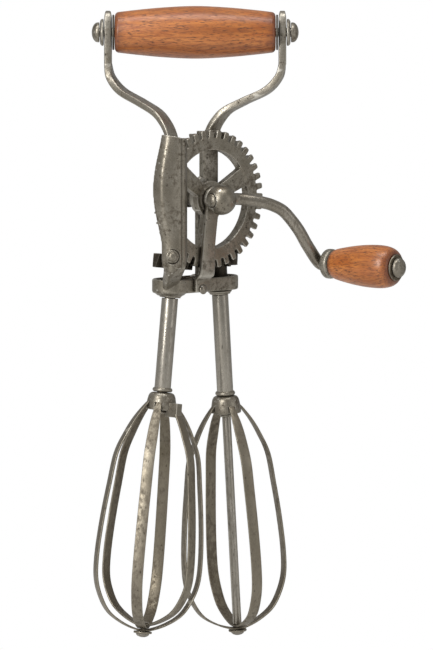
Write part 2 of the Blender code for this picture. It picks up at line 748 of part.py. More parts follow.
def makeCrankHub():
    """The ball on the axle's end, bored for the axle, the crank rod and its pin."""
    flatAngle = acos(hubBallFlat / hubBallRadius)
    count = 8
    profile = []
    for i in range(count + 1):
        angle = (pi - flatAngle) * i / count
        profile.append((hubBallRadius * sin(angle), ballCentre + hubBallRadius * cos(angle)))
    bore = axleRadius + gap
    depth = ballCentre + axleRadius / 2 + gap
    profile += [(bore, ballBack), (bore, depth), (0, depth)]
    ball = turned("crank_hub", profile, castMetal, crankEmpty, None, False, 28)
    across = Matrix.Translation((0, 0, ballCentre)) @ alongX
    bore = cylinderMesh("hub_rod_bore", crankRodRadius + gap, gap, hubBallRadius + overrun, 16)
    combine(ball, addCutter("hub_rod_bore", bore, crankEmpty, across))
    bore = cylinderMesh("hub_pin_bore", smallShankRadius + gap, -hubBallRadius - overrun, -gap, 16)
    combine(ball, addCutter("hub_pin_bore", bore, crankEmpty, across))
    seat = sqrt(hubBallRadius ** 2 - (hubPinRadius + gap) ** 2) - gap * 2
    face = cylinderMesh("hub_pin_face", hubPinRadius + gap, -hubBallRadius - overrun, -seat, 20)
    combine(ball, addCutter("hub_pin_face", face, crankEmpty, across))
    outward = Matrix.Translation((0, 0, ballCentre)) @ Matrix.Rotation(-pi / 2, 4, "Y")
    profile = domeProfile(hubPinRadius, hubPinHeight, 0, seat + gap)
    profile += [(smallShankRadius, seat + gap), (smallShankRadius, axleRadius + gap), (0, axleRadius + gap)]
    turned("crank_hub_pin", profile, steel, crankEmpty, outward, steps=20)
    return ball


def makeCrank():
    """The crank rod, and the knob that turns on its bent end."""
    base = Vector((crankReach, -crankDrop, ballCentre + crankLean))
    knobPlace = Matrix.Translation(base) @ Matrix.Rotation(knobSplay, 4, "Y")
    knobEmpty = addEmpty("knob_axis", crankEmpty, knobPlace)
    axis = Vector((sin(knobSplay), 0, cos(knobSplay)))
    start = axleRadius + gap * 2
    points = [Vector((start, 0, ballCentre))]
    for reach, lean, drop in crankShares:
        reached = max(crankReach * reach, start * 1.1)
        points.append(Vector((reached, -crankDrop * drop, ballCentre + crankLean * lean)))
    points.append(base - axis * crankBendRadius)
    points.append(base + axis * (ferruleLength + knobLength + knobWasherThick))
    rodCurve("crank_rod", rounded(points, crankBendRadius), crankRodRadius, steel, crankEmpty)
    bore = crankRodRadius + gap
    soft = ferruleEdge
    profile = [(ferruleRadius - soft, ferruleLength), (ferruleRadius, ferruleLength - soft),
               (ferruleRadius, soft), (ferruleRadius - soft, 0), (bore, 0), (bore, ferruleLength)]
    turned("knob_ferrule", profile, castMetal, knobEmpty, None, True, 28)
    low = ferruleLength + gap
    high = low + knobLength
    profile = []
    for share, swell in knobShares:
        ends = mix(knobStartRadius, knobEndRadius, share)
        profile.append((mix(ends, knobMaxRadius, swell), low + knobLength * share))
    profile.reverse()
    turned("knob_wood", profile + [(bore, low), (bore, high)], wood, knobEmpty, None, True, 32)
    low = high + gap
    profile = [(knobWasherRadius, low + knobWasherThick), (knobWasherRadius, low), (bore, low),
               (bore, low + knobWasherThick)]
    turned("knob_washer", profile, castMetal, knobEmpty, None, True)
    low = low + knobWasherThick + gap
    rodEnd = ferruleLength + knobLength + knobWasherThick
    profile = domeProfile(knobNutRadius, knobNutHeight, 0, low)
    depth = max(rodEnd + gap, low + gap)
    profile += [(bore, low), (bore, depth), (0, depth)]
    turned("knob_nut", profile, steel, knobEmpty, None)


def makeWhiskAxes():
    whisks = {}
    for side, sign in sideSign.items():
        place = Matrix.Translation((sign * shaftSpread, 0, -floorDrop))
        place = place @ Matrix.Rotation(-sign * shaftLean[side], 4, "Y")
        whisks[side] = addEmpty(side + "_whisk_axis", frameEmpty, place)
    return whisks


def meshPlace(side):
    """Where a shaft's line crosses the wheel: its angle from straight down, and the radius there."""
    sign = sideSign[side]
    rise = pinionTopRise - pinionEngaged / 2
    across = shaftSpread - rise * sin(shaftLean[side])
    down = floorDrop - rise * cos(shaftLean[side]) - wheelDrop
    return sign * atan2(across, down), sqrt(across ** 2 + down ** 2)


def makePinion(side, whisk):
    """Ten teeth, twisted so that each lies along the wheel's slots where they meet."""
    angle, reach = meshPlace(side)
    tilt = angle - sideSign[side] * shaftLean[side]
    pitch = 2 * pi / toothCount
    slotShift = (angle / pitch - round(angle / pitch - 0.5) - 0.5) * pitch
    phase = -slotShift * reach / pinionPitch / cos(tilt)
    steps = 4
    root = pinionPitch - pinionDedendum
    tip = pinionPitch + pinionAddendum
    flank = [(root, -pinionRootThick), (pinionPitch, -pinionToothThick), (tip, -pinionTipThick)]
    rings = []
    for level in range(steps + 1):
        height = pinionTopRise - pinionFace * level / steps
        rise = pinionEngaged / 2 - pinionFace * level / steps
        twist = phase - rise * tan(tilt) / pinionPitch
        ring = []
        for tooth in range(pinionTeeth):
            middle = 2 * pi * tooth / pinionTeeth - pi / 2 + twist
            for radius, thick in flank + [(radius, -thick) for radius, thick in reversed(flank)]:
                turn = middle + thick / 2 / radius
                ring.append(Vector((radius * cos(turn), radius * sin(turn), height)))
        rings.append(ring)
    pinion = addPart(side + "_pinion", loftMesh(side + "_pinion", rings), steel, whisk)
    hub = cylinderMesh(side + "_pinion_hub", pinionHubRadius, pinionHubBottom, pinionTopRise - pinionFace / 2)
    combine(pinion, addCutter(side + "_pinion_hub", hub, whisk), "UNION")
    bore = cylinderMesh(side + "_pinion_bore", shaftNeckRadius + gap, -overrun, pinionTopRise + overrun, 20)
    combine(pinion, addCutter(side + "_pinion_bore", bore, whisk))


def makeShaft(side, whisk):
    flangeTop = -(bridgeHeight - bridgeTrough) - bushFlangeSeat
    flangeBottom = flangeTop - bushFlangeThick
    shoulder = flangeBottom - gap
    ringTop = -ringDrop[side]
    coneTop = ringTop - ringHeight - gap
    tenonEnd = coneTop - coneTenon
    profile = [(0, shaftTopRise), (shaftNeckRadius * 0.7, shaftTopRise),
               (shaftNeckRadius, shaftTopRise - gap * 2),
               (shaftNeckRadius, shoulder), (shaftRadius, shoulder), (shaftRadius, coneTop + gap),
               (shaftNeckRadius, coneTop + gap), (shaftNeckRadius, tenonEnd), (0, tenonEnd)]
    turned(side + "_shaft", profile, steel, whisk)
    bore = shaftNeckRadius + gap
    top = pinionHubBottom - gap
    profile = [(thrustWasherRadius, top), (thrustWasherRadius, top - thrustWasherThick),
               (bore, top - thrustWasherThick), (bore, top)]
    turned(side + "_thrust_washer", profile, steel, whisk, None, True)
    profile = [(bushRadius, bushRise), (bushRadius, flangeTop), (bushFlangeRadius, flangeTop),
               (bushFlangeRadius, flangeBottom), (bore, flangeBottom), (bore, bushRise)]
    turned(side + "_bush", profile, castMetal, whisk, None, True)
    bore = shaftRadius + gap
    soft = (ringRadius - bore) / 2
    ringBottom = ringTop - ringHeight
    profile = [(ringRadius - soft, ringTop), (ringRadius, ringTop - soft), (ringRadius, ringBottom + soft),
               (ringRadius - soft, ringBottom), (bore, ringBottom), (bore, ringTop)]
    turned(side + "_shaft_ring", profile, castMetal, whisk, None, True)
    return coneTop


def makeCone(side, whisk, coneTop):
    bore = shaftNeckRadius + gap
    bottom = coneTop - coneHeight
    profile = [(coneTopRadius - ringHeight / 3, coneTop), (coneTopRadius, coneTop - ringHeight / 3),
               (coneMidRadius, coneTop - coneHeight / 2), (coneBottomRadius, coneTop - coneHeight * 0.85),
               (coneBottomRadius, bottom), (bore, bottom), (bore, coneTop)]
    cone = turned(side + "_cone", profile, castMetal, whisk, None, True, 32)
    for number, angle in enumerate(loopAngles[side]):
        for turn in (0, pi):
            name = side + "_slot_" + str(number) + ("a" if turn == 0 else "b")
            slot = boxMesh(name, (slotInner, -slotWidth / 2, bottom - overrun),
                           (coneBottomRadius + overrun, slotWidth / 2, bottom + bladeTangDepth + gap))
            combine(cone, addCutter(name, slot, whisk, Matrix.Rotation(angle + turn, 4, "Z")))
    return bottom


def bladeRing(radius, height, runOut, runDown, width, thick):
    """A section of the band: its width lies across the loop's plane."""
    length = sqrt(runOut ** 2 + runDown ** 2)
    outward = Vector((runDown / length, 0, -runOut / length)) * thick / 2
    centre = Vector((radius, 0, height))
    across = Vector((0, width / 2, 0))
    return [centre - outward - across, centre - outward + across,
            centre + outward + across, centre + outward - across]


def makeLoop(name, whisk, coneBottom, angle, level):
    """One bowed loop: two legs from the cone's slots, joined by the band's flat bottom."""
    places = [(bladeTangRadius, coneBottom + bladeTangDepth, bladeTangWidth),
              (bladeTangRadius + gap, coneBottom + bladeTangDepth * 0.7, bladeTangWidth)]
    for down, out, wide in bladeShares:
        lift = bladeStep * level * min(max((down - 0.75) * 5, 0), 1)
        width = mix(bladeTangWidth, bladeWidth, wide)
        places.append((bladeSpan * out, coneBottom - bladeDrop * down + lift, width))
    lowest = coneBottom - bladeDrop + bladeStep * level
    half = places + [(0, lowest, places[-1][2])]
    path = half + [(-radius, height, width) for radius, height, width in reversed(places)]
    rings = []
    for i, (radius, height, width) in enumerate(path):
        before = path[max(i - 1, 0)]
        after = path[min(i + 1, len(path) - 1)]
        rings.append(bladeRing(radius, height, after[0] - before[0], after[1] - before[1], width, bladeThick))
    turn = Matrix.Rotation(angle, 4, "Z")
    loop = addPart(name, loftMesh(name, rings), darkSteel, whisk, turn)
    hole = cylinderMesh(name + "_hole", rivetShankRadius + gap, lowest - overrun, lowest + overrun, 16)
    combine(loop, addCutter(name + "_hole", hole, whisk))
    return loop


def makeWhiskEnds(side, whisk, coneBottom):
    """The collar under the cone, the right whisk's centre rod, and the rivet that holds the loops."""
    loops = len(loopAngles[side])
    stackTop = coneBottom - bladeDrop + bladeStep * (loops - 1) + bladeThick / 2
    stackBottom = coneBottom - bladeDrop - bladeThick / 2
    washerTop = stackBottom - gap
    washerBottom = washerTop - rivetWasherThick
    headTop = washerBottom - gap
    collarTop = coneBottom - gap
    plugTop = coneBottom + coneHeight - coneTenon - gap * 3
    if side == "right":
        bore = centreRodRadius + gap
        profile = [(collarRadius, collarTop), (collarRadius, collarTop - collarHeight),
                   (bore, collarTop - collarHeight), (bore, collarTop)]
        turned("right_collar", profile, castMetal, whisk, None, True)
        profile = [(0, plugTop), (centreRodRadius, plugTop), (centreRodRadius, stackTop + gap)]
        name = "right_centre_rod"
    else:
        profile = [(0, plugTop), (centreRodRadius, plugTop), (centreRodRadius, collarTop),
                   (collarRadius, collarTop), (collarRadius, collarTop - collarHeight),
                   (0, collarTop - collarHeight)]
        turned("left_cone_plug", profile, castMetal, whisk, None)
        inside = stackTop + gap
        profile = [(0, inside + rivetWasherThick), (rivetHeadRadius * 0.8, inside + rivetWasherThick),
                   (rivetHeadRadius * 0.8, inside)]
        name = "left_loop_rivet"
    profile += [(rivetShankRadius, stackTop + gap), (rivetShankRadius, headTop), (rivetHeadRadius, headTop)]
    for angle in (pi / 8, pi / 4, pi * 3 / 8):
        profile.append((rivetHeadRadius * cos(angle), headTop - rivetHeadHeight * sin(angle)))
    profile.append((0, headTop - rivetHeadHeight))
    turned(name, profile, steel, whisk, None, steps=20)
    bore = rivetShankRadius + gap
    profile = [(rivetWasherRadius, washerTop), (rivetWasherRadius, washerBottom),
               (bore, washerBottom), (bore, washerTop)]
    turned(side + "_loop_washer", profile, castMetal, whisk, None, True)


makeGripEnds(makeGrip())
whiskAxes = makeWhiskAxes()
rightStrap = makeRightStrap()
leftStrap = makeLeftStrap()
for strap in (leftStrap, rightStrap):
    name = strap.name + "_rod_hole"
    tool = cylinderMesh(name, gripRodRadius + gap, -strapPlace - strapThick, strapPlace + strapThick, 16)
    combine(strap, addCutter(name, tool, None, alongX))
casting = makeCasting(whiskAxes)
makeShieldScrew(casting, leftStrap)
makeArm(casting)
makeUprightRivet(casting, rightStrap)
makeWheel()
makeAxle()
makeCrankHub()
makeCrank()
for whiskSide, whiskAxis in whiskAxes.items():
    makePinion(whiskSide, whiskAxis)
    top = makeShaft(whiskSide, whiskAxis)
    bottom = makeCone(whiskSide, whiskAxis, top)
    for order, direction in enumerate(loopAngles[whiskSide]):
        makeLoop(whiskSide + "_loop_" + "abc"[order], whiskAxis, bottom, direction, order)
    makeWhiskEnds(whiskSide, whiskAxis, bottom)
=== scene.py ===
import bpy
import bmesh
import json
from math import atan2, cos, pi, radians, sin, sqrt
from mathutils import Matrix, Vector


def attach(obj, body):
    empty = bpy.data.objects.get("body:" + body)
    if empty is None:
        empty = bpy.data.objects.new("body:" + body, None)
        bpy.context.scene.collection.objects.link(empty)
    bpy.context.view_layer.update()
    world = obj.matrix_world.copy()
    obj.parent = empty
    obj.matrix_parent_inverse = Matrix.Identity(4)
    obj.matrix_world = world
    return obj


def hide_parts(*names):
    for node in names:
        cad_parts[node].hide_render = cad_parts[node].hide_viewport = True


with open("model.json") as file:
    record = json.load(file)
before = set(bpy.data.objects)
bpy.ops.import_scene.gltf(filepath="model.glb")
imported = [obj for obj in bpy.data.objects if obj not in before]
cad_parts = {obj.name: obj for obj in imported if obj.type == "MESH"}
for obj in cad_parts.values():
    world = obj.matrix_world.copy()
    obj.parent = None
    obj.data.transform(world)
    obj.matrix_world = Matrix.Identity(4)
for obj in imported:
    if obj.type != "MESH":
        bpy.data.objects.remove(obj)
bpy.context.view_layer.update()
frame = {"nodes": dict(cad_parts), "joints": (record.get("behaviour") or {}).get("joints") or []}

# Old rotary egg beater. Shapes are in millimetres in their own axes and meshes end up in metres.
mm = 0.001
up = Vector((0, 0, 1))
joints = {joint["name"]: joint for joint in frame["joints"]}
outward = Vector(joints["crank_spin"]["axis"]).normalized()  # the side that the wheel faces
along = up.cross(outward)  # runs along the bridge
frameTurn = atan2(along.y, along.x)


def axisPlace(name, side):
    spin = joints[name]
    z = Vector(spin["axis"]).normalized()
    y = (side - z * side.dot(z)).normalized()
    place = Matrix((y.cross(z), y, z)).transposed().to_4x4()
    place.translation = Vector(spin["pos_m"])
    return place


gripPlace = Matrix.Rotation(pi / 2, 4, "Y")
gearPlace = Matrix((along, -outward, up)).transposed().to_4x4()
crankPlace = axisPlace("crank_spin", up)
knobPlace = axisPlace("knob_spin", up)
whiskPlace = {side: axisPlace(side + "_whisk_spin", -outward) for side in ("left", "right")}


# Shared tools

def mix(first, second, share):
    return first + (second - first) * share


def flowing(values, perSpan=6):
    # smooth run through rows of numbers
    rows = []
    last = len(values) - 1
    for i in range(last):
        a, b, c, d = values[max(i - 1, 0)], values[i], values[i + 1], values[min(i + 2, last)]
        for k in range(perSpan):
            t = k / perSpan
            rows.append([0.5 * (2 * q + (r - p) * t + (2 * p - 5 * q + 4 * r - s) * t * t
                                + (3 * q - p - 3 * r + s) * t ** 3) for p, q, r, s in zip(a, b, c, d)])
    rows.append(list(values[-1]))
    return rows


def softened(profile, reach, closed):
    # every corner of a flat path gets a small round
    soft = []
    total = len(profile)
    for i, spot in enumerate(profile):
        corner = Vector(spot)
        if not closed and i in (0, total - 1):
            soft.append(corner)
            continue
        before = Vector(profile[i - 1]) - corner
        after = Vector(profile[(i + 1) % total]) - corner
        inner = before.normalized() * min(reach, before.length * 0.45)
        outer = after.normalized() * min(reach, after.length * 0.45)
        for share in (0, 0.35, 0.65, 1):
            soft.append(corner + inner * (1 - share) ** 2 + outer * share ** 2)
    return soft


def meshFrom(name, points, faces):
    mesh = bpy.data.meshes.new(name)
    mesh.from_pydata([tuple(c * mm for c in point) for point in points], [], faces)
    shape = bmesh.new()
    shape.from_mesh(mesh)
    bmesh.ops.remove_doubles(shape, verts=shape.verts, dist=0.000002)
    bmesh.ops.recalc_face_normals(shape, faces=shape.faces)
    shape.to_mesh(mesh)
    shape.free()
    return mesh


def spunMesh(name, profile, steps=72, soft=0.25):
    closed = profile[0][0] > 0
    path = softened(profile, soft, closed)
    points = []
    for step in range(steps):
        angle = 2 * pi * step / steps
        points += [(r * cos(angle), r * sin(angle), h) for r, h in path]
    count = len(path)
    faces = []
    for step in range(steps):
        for i in range(count if closed else count - 1):
            j = (i + 1) % count
            a, b = step * count, (step + 1) % steps * count
            faces.append((a + i, a + j, b + j, b + i))
    return meshFrom(name, points, faces)


def loftedMesh(name, rings):
    count = len(rings[0])
    points = [point for ring in rings for point in ring]
    faces = [tuple(range(count)), tuple(range(len(points) - count, len(points)))]
    for r in range(len(rings) - 1):
        for i in range(count):
            j = (i + 1) % count
            faces.append((r * count + i, r * count + j, (r + 1) * count + j, (r + 1) * count + i))
    return meshFrom(name, points, faces)


def barMesh(name, stations, corner, roundSteps=4):
    # stations hold a centre, the direction of the width, the width and the thickness
    rings = []
    for i, (centre, across, width, thick) in enumerate(stations):
        run = stations[min(i + 1, len(stations) - 1)][0] - stations[max(i - 1, 0)][0]
        across = (across - run * across.dot(run) / run.length_squared).normalized()
        through = run.cross(across).normalized()
        radius = min(corner, width * 0.49, thick * 0.49)
        ring = []
        for quarter, (u, v) in enumerate(((1, 1), (-1, 1), (-1, -1), (1, -1))):
            for step in range(roundSteps + 1):
                angle = (quarter + step / roundSteps) * pi / 2
                wide = u * (width / 2 - radius) + radius * cos(angle)
                deep = v * (thick / 2 - radius) + radius * sin(angle)
                ring.append(centre + across * wide + through * deep)
        rings.append(ring)
    return loftedMesh(name, rings)


def tubeMesh(name, path, radius, sides=28):
    side = Vector((0, 1, 0.02))
    stations = [(Vector(spot), side, radius * 2, radius * 2) for spot in path]
    return barMesh(name, stations, radius, sides // 4)


def showPiece(name, mesh, body, material, place=None, stands=None, sharp=38):
    if place:
        mesh.transform(place)
    mesh.shade_smooth()
    mesh.set_sharp_from_angle(angle=radians(sharp))
    piece = bpy.data.objects.new(name, mesh)
    bpy.context.scene.collection.objects.link(piece)
    mesh.materials.clear()
    mesh.materials.append(material)
    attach(piece, body)
    if stands:
        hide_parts(stands)
    return piece


def workObject(name, mesh):
    piece = bpy.data.objects.new(name, mesh)
    bpy.context.scene.collection.objects.link(piece)
    return piece


def settled(piece):
    # the mesh with its modifiers applied; the work object goes
    bpy.context.view_layer.update()
    mesh = bpy.data.meshes.new_from_object(piece.evaluated_get(bpy.context.evaluated_depsgraph_get()))
    mesh.name = piece.name
    bpy.data.objects.remove(piece)
    return mesh


def castSkin(name, meshes, voxel, smooth=3):
    # joins shapes into one skin with the soft edges of a casting
    shape = bmesh.new()
    for mesh in meshes:
        shape.from_mesh(mesh)
    joined = bpy.data.meshes.new(name)
    shape.to_mesh(joined)
    shape.free()
    work = workObject(name, joined)
    remesh = work.modifiers.new("skin", "REMESH")
    remesh.mode = "VOXEL"
    remesh.voxel_size = voxel * mm
    soften = work.modifiers.new("soften", "SMOOTH")
    soften.factor = 0.5
    soften.iterations = smooth
    return settled(work)


def cutMesh(name, mesh, tools):
    work = workObject(name, mesh)
    holders = []
    for i, (tool, operation) in enumerate(tools):
        holder = workObject(name + "Tool" + str(i), tool)
        holders.append(holder)
        cut = work.modifiers.new("cut" + str(i), "BOOLEAN")
        cut.operation = operation
        cut.solver = "EXACT"
        cut.object = holder
    result = settled(work)
    for holder in holders:
        bpy.data.objects.remove(holder)
    return result


def rodMesh(radius, bottom, top, place=None, steps=48):
    mesh = spunMesh("tool", [(0, top), (radius, top), (radius, bottom), (0, bottom)], steps, 0)
    if place:
        mesh.transform(place)
    return mesh


# Finishes

def treeFor(name):
    material = bpy.data.materials.new(name)
    material.use_nodes = True
    tree = material.node_tree
    return material, tree, tree.nodes["Principled BSDF"]


def addNode(tree, kind, inputs=None, **settings):
    node = tree.nodes.new("ShaderNode" + kind)
    for key, value in settings.items():
        setattr(node, key, value)
    for key, value in (inputs or {}).items():
        if isinstance(value, bpy.types.NodeSocket):
            tree.links.new(value, node.inputs[key])
        else:
            node.inputs[key].default_value = value
    return node


def ramp(tree, source, stops):
    node = addNode(tree, "ValToRGB", {"Fac": source})
    while len(node.color_ramp.elements) < len(stops):
        node.color_ramp.elements.new(0.5)
    for element, (place, value) in zip(node.color_ramp.elements, stops):
        element.position = place
        element.color = (value, value, value, 1)
    return node.outputs["Color"]


def blended(tree, share, first, second):
    node = addNode(tree, "Mix", data_type="RGBA")
    for key, value in ((0, share), (6, first), (7, second)):
        if isinstance(value, bpy.types.NodeSocket):
            tree.links.new(value, node.inputs[key])
        elif key:
            node.inputs[key].default_value = (*value, 1)
        else:
            node.inputs[key].default_value = value
    return node.outputs[2]


def times(tree, first, second, operation="MULTIPLY"):
    return addNode(tree, "Math", {0: first, 1: second}, operation=operation).outputs[0]


# tinned iron: bright on edges, a painted highlight that also stands for worn tin, brown grime in patches,
# small dark pits, and hollows painted darker as shade together with grime
metalLooks = {
    "castTin": {"bright": (0.37, 0.34, 0.285), "dull": (0.235, 0.21, 0.165),
                "grime": (0.085, 0.066, 0.043), "edge": (0.60, 0.57, 0.50),
                "rough": (0.30, 0.52), "grimeFrom": 0.52, "pits": 0.9, "bump": 0.55,
                "grain": 420, "stretch": (1, 1, 1)},
    "rodSteel": {"bright": (0.36, 0.33, 0.28), "dull": (0.23, 0.205, 0.165),
                 "grime": (0.085, 0.066, 0.043), "edge": (0.58, 0.55, 0.49),
                 "rough": (0.24, 0.42), "grimeFrom": 0.55, "pits": 0.6, "bump": 0.3,
                 "grain": 520, "stretch": (1, 1, 0.3)},
    "bladeSteel": {"bright": (0.215, 0.185, 0.135), "dull": (0.135, 0.112, 0.075),
                   "grime": (0.066, 0.047, 0.028), "edge": (0.50, 0.46, 0.38),
                   "rough": (0.34, 0.55), "grimeFrom": 0.50, "pits": 0.7, "bump": 0.45,
                   "grain": 560, "stretch": (1, 1, 0.5)},
    # painted shade: this iron is made near black to stand for the shade around the pinions, the grip
    # ferrules and the axle spool
    "paintedShadeIron": {"bright": (0.085, 0.073, 0.055), "dull": (0.05, 0.041, 0.03),
                 "grime": (0.022, 0.017, 0.012), "edge": (0.22, 0.20, 0.165),
                 "rough": (0.40, 0.60), "grimeFrom": 0.50, "pits": 0.6, "bump": 0.4,
                 "grain": 480, "stretch": (1, 1, 1)},
}
metalShared = {"cloudScale": 75, "speckScale": 2600, "pitScale": 640, "creaseShadeAndGrime": (0.05, 0.04, 0.028),
               "pit": (0.035, 0.027, 0.019), "bumpReach": 0.00022, "metallic": 0.88}


def oldMetal(name):
    look = metalLooks[name]
    shared = metalShared
    material, tree, shader = treeFor(name)
    spot = addNode(tree, "TexCoord").outputs["Object"]
    spot = addNode(tree, "Mapping", {"Vector": spot, "Scale": look["stretch"]}).outputs["Vector"]
    cloud = addNode(tree, "TexNoise", {"Vector": spot, "Scale": shared["cloudScale"], "Detail": 5,
                                       "Roughness": 0.6}).outputs["Fac"]
    grain = addNode(tree, "TexNoise", {"Vector": spot, "Scale": look["grain"], "Detail": 8,
                                       "Roughness": 0.72}).outputs["Fac"]
    speck = addNode(tree, "TexNoise", {"Vector": spot, "Scale": shared["speckScale"],
                                       "Detail": 3}).outputs["Fac"]
    cells = addNode(tree, "TexVoronoi", {"Vector": spot, "Scale": shared["pitScale"],
                                         "Randomness": 1.0}).outputs["Distance"]
    pitPlaces = ramp(tree, cells, [(0.14, 1), (0.30, 0)])
    pits = times(tree, pitPlaces, ramp(tree, grain, [(0.50, 0), (0.60, look["pits"])]))
    tone = blended(tree, ramp(tree, cloud, [(0.35, 0), (0.65, 1)]), look["dull"], look["bright"])
    tone = blended(tree, ramp(tree, speck, [(0.42, 0.35), (0.60, 0)]), tone, look["grime"])
    dirt = ramp(tree, times(tree, times(tree, cloud, 0.45), times(tree, grain, 0.6), "ADD"),
                [(look["grimeFrom"], 0), (look["grimeFrom"] + 0.11, 0.8)])
    tone = blended(tree, dirt, tone, look["grime"])
    # painted highlight: sharp edges (high pointiness) take the bright edge colour, standing for light caught
    # on edges as well as worn tin
    edge = ramp(tree, addNode(tree, "NewGeometry").outputs["Pointiness"], [(0.515, 0), (0.56, 0.85)])
    # painted shade: hollows (low pointiness) take a near-black colour that stands for shade in creases,
    # together with grime
    creaseShadeAndGrime = ramp(tree, addNode(tree, "NewGeometry").outputs["Pointiness"], [(0.44, 0.85), (0.49, 0)])
    tone = blended(tree, edge, tone, look["edge"])
    tone = blended(tree, creaseShadeAndGrime, tone, shared["creaseShadeAndGrime"])
    tone = blended(tree, pits, tone, shared["pit"])
    tree.links.new(tone, shader.inputs["Base Color"])
    low, high = look["rough"]
    rough = addNode(tree, "MapRange", {"Value": grain, "From Min": 0.35, "From Max": 0.7, "To Min": low,
                                       "To Max": high}).outputs["Result"]
    rough = times(tree, rough, times(tree, dirt, 0.2), "ADD")
    tree.links.new(times(tree, rough, times(tree, pits, 0.3), "ADD"), shader.inputs["Roughness"])
    bumpHeight = times(tree, times(tree, grain, 0.5), times(tree, speck, 0.12), "ADD")
    bumpHeight = times(tree, bumpHeight, times(tree, pits, 0.8), "SUBTRACT")
    bump = addNode(tree, "Bump", {"Height": bumpHeight, "Strength": look["bump"],
                                  "Distance": shared["bumpReach"]})
    tree.links.new(bump.outputs["Normal"], shader.inputs["Normal"])
    shader.inputs["Metallic"].default_value = shared["metallic"]
    return material


# varnished beech: long fine pores, warm bands, and darker towards the ends
woodLook = {"light": (0.53, 0.185, 0.042), "warm": (0.37, 0.105, 0.021), "dark": (0.17, 0.042, 0.010),
            "pore": (0.060, 0.019, 0.008), "end": (0.10, 0.022, 0.008), "endFrom": 0.86,
            "stretch": 0.055, "poreStretch": 0.13, "bandScale": 620, "cloudScale": 150,
            "poreScale": 2300, "fleckScale": 1100, "rough": (0.30, 0.46), "bump": 0.35,
            "bumpReach": 0.0002, "coat": 0.25, "coatRough": 0.28}


def varnishedWood(name, turnBack, middle, half):
    material, tree, shader = treeFor(name)
    spot = addNode(tree, "TexCoord").outputs["Object"]
    spot = addNode(tree, "Mapping", {"Vector": spot, "Location": -middle}).outputs["Vector"]
    spot = addNode(tree, "Mapping", {"Vector": spot, "Rotation": turnBack}).outputs["Vector"]
    grainScale = (woodLook["stretch"], 1, 1)
    poreScale = (woodLook["poreStretch"], 1, 1)
    grainSpot = addNode(tree, "Mapping", {"Vector": spot, "Scale": grainScale}).outputs["Vector"]
    poreSpot = addNode(tree, "Mapping", {"Vector": spot, "Scale": poreScale}).outputs["Vector"]
    bands = addNode(tree, "TexNoise", {"Vector": grainSpot, "Scale": woodLook["bandScale"], "Detail": 6,
                                       "Roughness": 0.7, "Distortion": 0.5}).outputs["Fac"]
    cloud = addNode(tree, "TexNoise", {"Vector": grainSpot, "Scale": woodLook["cloudScale"],
                                       "Detail": 3}).outputs["Fac"]
    pores = addNode(tree, "TexNoise", {"Vector": poreSpot, "Scale": woodLook["poreScale"],
                                       "Detail": 2}).outputs["Fac"]
    fleck = addNode(tree, "TexNoise", {"Vector": poreSpot, "Scale": woodLook["fleckScale"], "Detail": 4,
                                       "Roughness": 0.7}).outputs["Fac"]
    tone = blended(tree, ramp(tree, bands, [(0.40, 0), (0.60, 1)]), woodLook["warm"], woodLook["light"])
    tone = blended(tree, ramp(tree, cloud, [(0.46, 0), (0.68, 0.6)]), tone, woodLook["dark"])
    tone = blended(tree, ramp(tree, fleck, [(0.52, 0), (0.66, 0.7)]), tone, woodLook["dark"])
    poreMask = ramp(tree, pores, [(0.56, 0), (0.65, 0.8)])
    tone = blended(tree, poreMask, tone, woodLook["pore"])
    place = addNode(tree, "SeparateXYZ", {"Vector": spot}).outputs["X"]
    fromMiddle = times(tree, place, 0, "ABSOLUTE")
    endShare = addNode(tree, "MapRange", {"Value": fromMiddle, "From Min": half * woodLook["endFrom"],
                                          "From Max": half, "To Min": 0,
                                          "To Max": 0.75}).outputs["Result"]
    tone = blended(tree, endShare, tone, woodLook["end"])
    tree.links.new(tone, shader.inputs["Base Color"])
    low, high = woodLook["rough"]
    rough = addNode(tree, "MapRange", {"Value": fleck, "From Min": 0.3, "From Max": 0.7, "To Min": low,
                                       "To Max": high}).outputs["Result"]
    tree.links.new(times(tree, rough, times(tree, poreMask, 0.2), "ADD"), shader.inputs["Roughness"])
    height = times(tree, times(tree, bands, 0.4), times(tree, poreMask, 0.5), "SUBTRACT")
    bump = addNode(tree, "Bump", {"Height": height, "Strength": woodLook["bump"],
                                  "Distance": woodLook["bumpReach"]})
    tree.links.new(bump.outputs["Normal"], shader.inputs["Normal"])
    shader.inputs["Coat Weight"].default_value = woodLook["coat"]
    shader.inputs["Coat Roughness"].default_value = woodLook["coatRough"]
    return material


castTin = oldMetal("castTin")
rodSteel = oldMetal("rodSteel")
bladeSteel = oldMetal("bladeSteel")
paintedShadeIron = oldMetal("paintedShadeIron")
knobAxis = Vector(joints["knob_spin"]["axis"])
knobSize = {"ferrule": 7.45, "ferruleLong": 5.0, "long": 36.5, "start": 6.9, "widest": 10.75, "end": 7.0,
            "bore": 3.3, "washer": 6.6, "washerThick": 0.9, "nut": 5.0, "nutHigh": 3.4, "gap": 0.3}
knobReach = knobSize["ferruleLong"] + knobSize["gap"] + knobSize["long"] / 2
knobMiddle = Vector(joints["knob_spin"]["pos_m"]) + knobAxis * knobReach * mm
knobTurn = -atan2(knobAxis.y, knobAxis.x)
gripSize = {"half": 40.0, "endRadius": 9.9, "midRadius": 13.1, "bore": 2.5, "round": 2.2}
gripWood = varnishedWood("gripWood", (0, 0, 0), Vector((0, 0, 0)), gripSize["half"] * mm)
knobWood = varnishedWood("knobWood", (0, 0, knobTurn), knobMiddle, knobSize["long"] / 2 * mm)
print("finishes made")


# Grip and its ends

